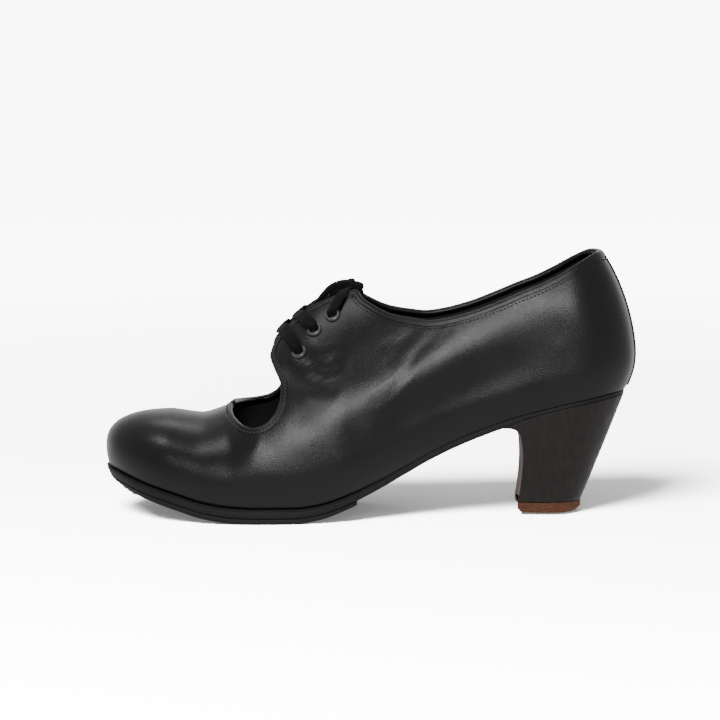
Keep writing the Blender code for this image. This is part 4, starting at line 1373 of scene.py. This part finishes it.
# Middle, width direction and normal of the lace where it crosses over the tabs
def lace_place(row, reach, share):
    along, across = EYELETS[row]
    y = across * BALL_WIDTH * share
    spot = along + reach * (1 - share**2)
    flat = LACE_FLAT * THROAT_GAP
    over = math.copysign((abs(y) ** LACE_BEND + flat**LACE_BEND) ** (1 / LACE_BEND), y)
    normal = instep_normal(spot, y)
    outward = min(max((abs(share) - LACE_LIFT_START) / LACE_LIFT_SPAN, 0.0), 1.0)
    middle = instep_point(spot, over) + normal * (LACE_LOW + LACE_LIFT * outward)
    middle.y = y + normal.y * LACE_THICK
    return middle, along_instep(spot, over), normal


# The lace's way from a crossing down through an eyelet
def dive(row, side, middle, wide):
    where = eyelet_frame(row, side)
    centre = where.translation
    axis = where.to_3x3() @ Vector((0.0, 0.0, 1.0))
    inward = middle - centre
    inward = (inward - axis * inward.dot(axis)).normalized()
    rings = []
    for out, height, narrow, thick in LACE_DIVE:
        spot = centre + inward * (out * MM) + axis * (height * MM)
        tilt = (axis * out + inward * (1.0 - out)).normalized()
        cross = tilt.cross(inward.cross(axis)).normalized() if out < 0.2 else tilt
        rings.append(lace_ring(spot, wide, cross, LACE_WIDTH * narrow, LACE_THICK * thick))
    return rings


def build_lace():
    def crossing(row, reach, shares):
        return [lace_ring(*lace_place(row, reach, share), LACE_WIDTH, LACE_THICK) for share in shares]

    def ending(row, reach, side):
        return dive(row, side, *lace_place(row, reach, side * LACE_OUTER)[:2])

    for row, reach in LACE_BARS:
        rings = list(reversed(ending(row, reach, -1)))
        rings += crossing(row, reach, [LACE_OUTER * (2 * i / LACE_STEPS - 1) for i in range(LACE_STEPS + 1)])
        rings += ending(row, reach, 1)
        lace_piece(f"lace_crossing_{row + 1}", rings, f"lace_bar_{row + 1}")
    span = LACE_OUTER - STRAND_INNER
    for side, word in ((-1, "lateral"), (1, "medial")):
        shares = [side * (STRAND_INNER + span * i / STRAND_STEPS) for i in range(STRAND_STEPS + 1)]
        rings = crossing(KNOT_ROW, KNOT_REACH, shares) + ending(KNOT_ROW, KNOT_REACH, side)
        lace_piece("lace_strand_" + word, rings, "lace_top_" + word)
    build_knot()


# A small tied knot: a rounded heart where its solid lies, with bands of lace wrapped round it
# and one fold of lace that lies over the gap between the tabs in front of it
def build_knot():
    middle, along, _ = lace_place(KNOT_ROW, KNOT_REACH, 0.0)
    middle.y = 0.0
    middle.z -= KNOT_DROP
    cross = Vector((0.0, 1.0, 0.0))
    up = along.cross(cross)
    if up.z < 0:
        up = -up

    def shell(share, angle, grow):
        girth = math.sqrt(max(1.0 - share**2, 0.0))
        out = cross * (math.cos(angle) * (KNOT_WIDTH / 2 * girth + grow))
        out += up * (math.sin(angle) * (KNOT_HEIGHT / 2 * girth + grow))
        return middle + along * (share * KNOT_LENGTH / 2) + out

    rings = []
    for i in range(KNOT_RINGS + 1):
        share = math.sin(math.pi * (i / KNOT_RINGS - 0.5))
        rings.append([shell(share * 0.995, 2 * math.pi * k / KNOT_RINGS, 0.0) for k in range(KNOT_RINGS)])
    lace_piece("lace_knot_heart", rings, "lace_knot")
    for k, (share, lean, width) in enumerate(KNOT_BANDS):
        rings = []
        for i in range(BAND_RINGS):
            angle = 2 * math.pi * i / BAND_RINGS
            spot = shell(share + lean * math.cos(angle), angle, LACE_THICK / 3)
            next_angle = angle + BAND_TURN
            ahead = shell(share + lean * math.cos(next_angle), next_angle, LACE_THICK / 3)
            run = (ahead - spot).normalized()
            out = (spot - middle - along * (spot - middle).dot(along)).normalized()
            side = run.cross(out).normalized()
            rings.append(lace_ring(spot, side, side.cross(run), width, LACE_THICK))
        lace_piece(f"lace_knot_band_{k + 1}", rings, closed=True)
    line = curve_through([middle + Vector((x, y, z)) * MM for x, z, y in KNOT_FOLD], ROUTE_STEPS)
    rings = []
    for i, spot in enumerate(line):
        run = (line[min(i + 1, len(line) - 1)] - line[max(i - 1, 0)]).normalized()
        side = (cross - run * cross.dot(run)).normalized()
        swell = math.sin(math.pi * (i + 0.6) / len(line)) ** 0.4
        rings.append(lace_ring(spot, side, run.cross(side), FOLD_WIDTH * swell, FOLD_THICK * swell))
    lace_piece("lace_fold", rings)


# Floor, light and camera

STAGE_RADIUS = 6.0
STAGE_CORNER = 1.5
STAGE_GLOW = 8.0
GLOW_START = 0.15
GLOW_NEAR = 0.22
GLOW_FAR = 1.3

# Brightness of the room below and above the shoe, from one slope of view to another, and of
# the white wall behind it, which fades to its sides and upwards
ROOM_LOW = 0.70
ROOM_HIGH = 0.42
ROOM_SLOPES = (-0.35, 0.05)
BACKDROP = 0.9
BACKDROP_SIDES = (0.50, 0.98)
BACKDROP_TOP = (0.10, 0.55)
LIGHT_TARGET = Vector((0.0, 0.0, 0.05))
LIGHTS = [
    # name, place, width, height, power
    ("window", (0.02, -1.87, 0.76), 0.80, 0.60, 13.5),
    ("top_left", (-0.45, -0.25, 1.30), 0.5, 0.3, 2.2),
    ("top_back", (0.10, 0.9, 1.2), 1.0, 0.3, 2.0),
]


# A seamless white bowl: its floor is lit from above, and its far parts glow evenly
def build_stage():
    finish, tree, body = shader("studio_floor", 1.0, 0.0, 0.0)
    body.inputs["Base Color"].default_value = (0.90, 0.90, 0.90, 1.0)
    body.inputs["Emission Color"].default_value = (1.0, 1.0, 1.0, 1.0)
    away = node(tree, "ShaderNodeVectorMath", operation="LENGTH")
    tree.links.new(coordinates(tree), away.inputs[0])
    glow = ranged(tree, away.outputs["Value"], GLOW_START, STAGE_GLOW, GLOW_NEAR, GLOW_FAR)
    tree.links.new(glow, body.inputs["Emission Strength"])
    flat = STAGE_RADIUS - STAGE_CORNER
    profile = [(0.0, 0.0), (0.4, 0.0), (1.0, 0.0), (flat, 0.0)]
    for i in range(1, 13):
        angle = math.pi / 2 * i / 12
        profile.append((flat + STAGE_CORNER * math.sin(angle), STAGE_CORNER * (1 - math.cos(angle))))
    profile.append((STAGE_RADIUS, STAGE_RADIUS))
    points = []
    faces = []
    turned(profile, 96, Matrix.Identity(4), points, faces)
    floor = mesh_object("studio_floor", points, faces, [finish], 60.0)
    floor.visible_diffuse = False
    floor.visible_glossy = False
    return floor


def area_light(name, where, width, height, power, only=None):
    data = bpy.data.lights.new(name, "AREA")
    data.shape = "RECTANGLE"
    data.size = width
    data.size_y = height
    data.energy = power
    lamp = bpy.data.objects.new(name, data)
    lamp.visible_camera = False
    lamp.location = where
    lamp.rotation_euler = (LIGHT_TARGET - lamp.location).to_track_quat("-Z", "Y").to_euler()
    bpy.context.scene.collection.objects.link(lamp)
    if only:
        group = bpy.data.collections.new(name + "_lights_only")
        group.objects.link(only)
        lamp.light_linking.receiver_collection = group


def build_light(floor):
    world = bpy.data.worlds.new("studio")
    world.use_nodes = True
    tree = world.node_tree
    background = tree.nodes["Background"]
    split = tree.nodes.new("ShaderNodeSeparateXYZ")
    tree.links.new(coordinates(tree, source="Generated"), split.inputs["Vector"])
    behind = ranged(tree, split.outputs["Y"], 0.0, 1.0, *BACKDROP_SIDES)
    lifted = total(tree, split.outputs["Z"], 0.0, "ABSOLUTE")
    level = ranged(tree, lifted, 1.0, 0.0, *BACKDROP_TOP)
    wall = total(tree, behind, level, "MULTIPLY")
    room = ranged(tree, split.outputs["Z"], ROOM_LOW, ROOM_HIGH, *ROOM_SLOPES)
    tree.links.new(total(tree, room, total(tree, wall, BACKDROP, "MULTIPLY")), background.inputs["Strength"])
    background.inputs["Color"].default_value = (1.0, 1.0, 1.0, 1.0)
    bpy.context.scene.world = world
    area_light("floor_top", (-0.45, -1.00, 1.10), 0.6, 0.6, 330.0, floor)
    for light in LIGHTS:
        area_light(*light)


def build_camera():
    data = bpy.data.cameras.new("camera")
    scale = 0.4533 * MM
    distance = 1.3
    elevation = math.radians(7.0)
    centre_u = 370.75
    centre_v = 390.3
    frame_px = 720
    data.sensor_width = 36.0
    data.lens = distance / scale / frame_px * data.sensor_width
    data.shift_x = (frame_px / 2 - centre_u) / frame_px
    data.shift_y = (centre_v - frame_px / 2) / frame_px
    camera = bpy.data.objects.new("camera", data)
    camera.location = (0.0, -distance * math.cos(elevation), 0.055 + distance * math.sin(elevation))
    camera.rotation_euler = (math.pi / 2 - elevation, 0.0, 0.0)
    bpy.context.scene.collection.objects.link(camera)
    bpy.context.scene.camera = camera


build_camera()
skin, edge_line, upper = build_upper()
frames = rim_frames(skin, upper, edge_line)
build_binding(frames)
build_edge_stitches(frames, skin)
build_back_strip(skin)
build_soles()
build_heel()
build_nails()
build_eyelets()
build_lace()
build_light(build_stage())
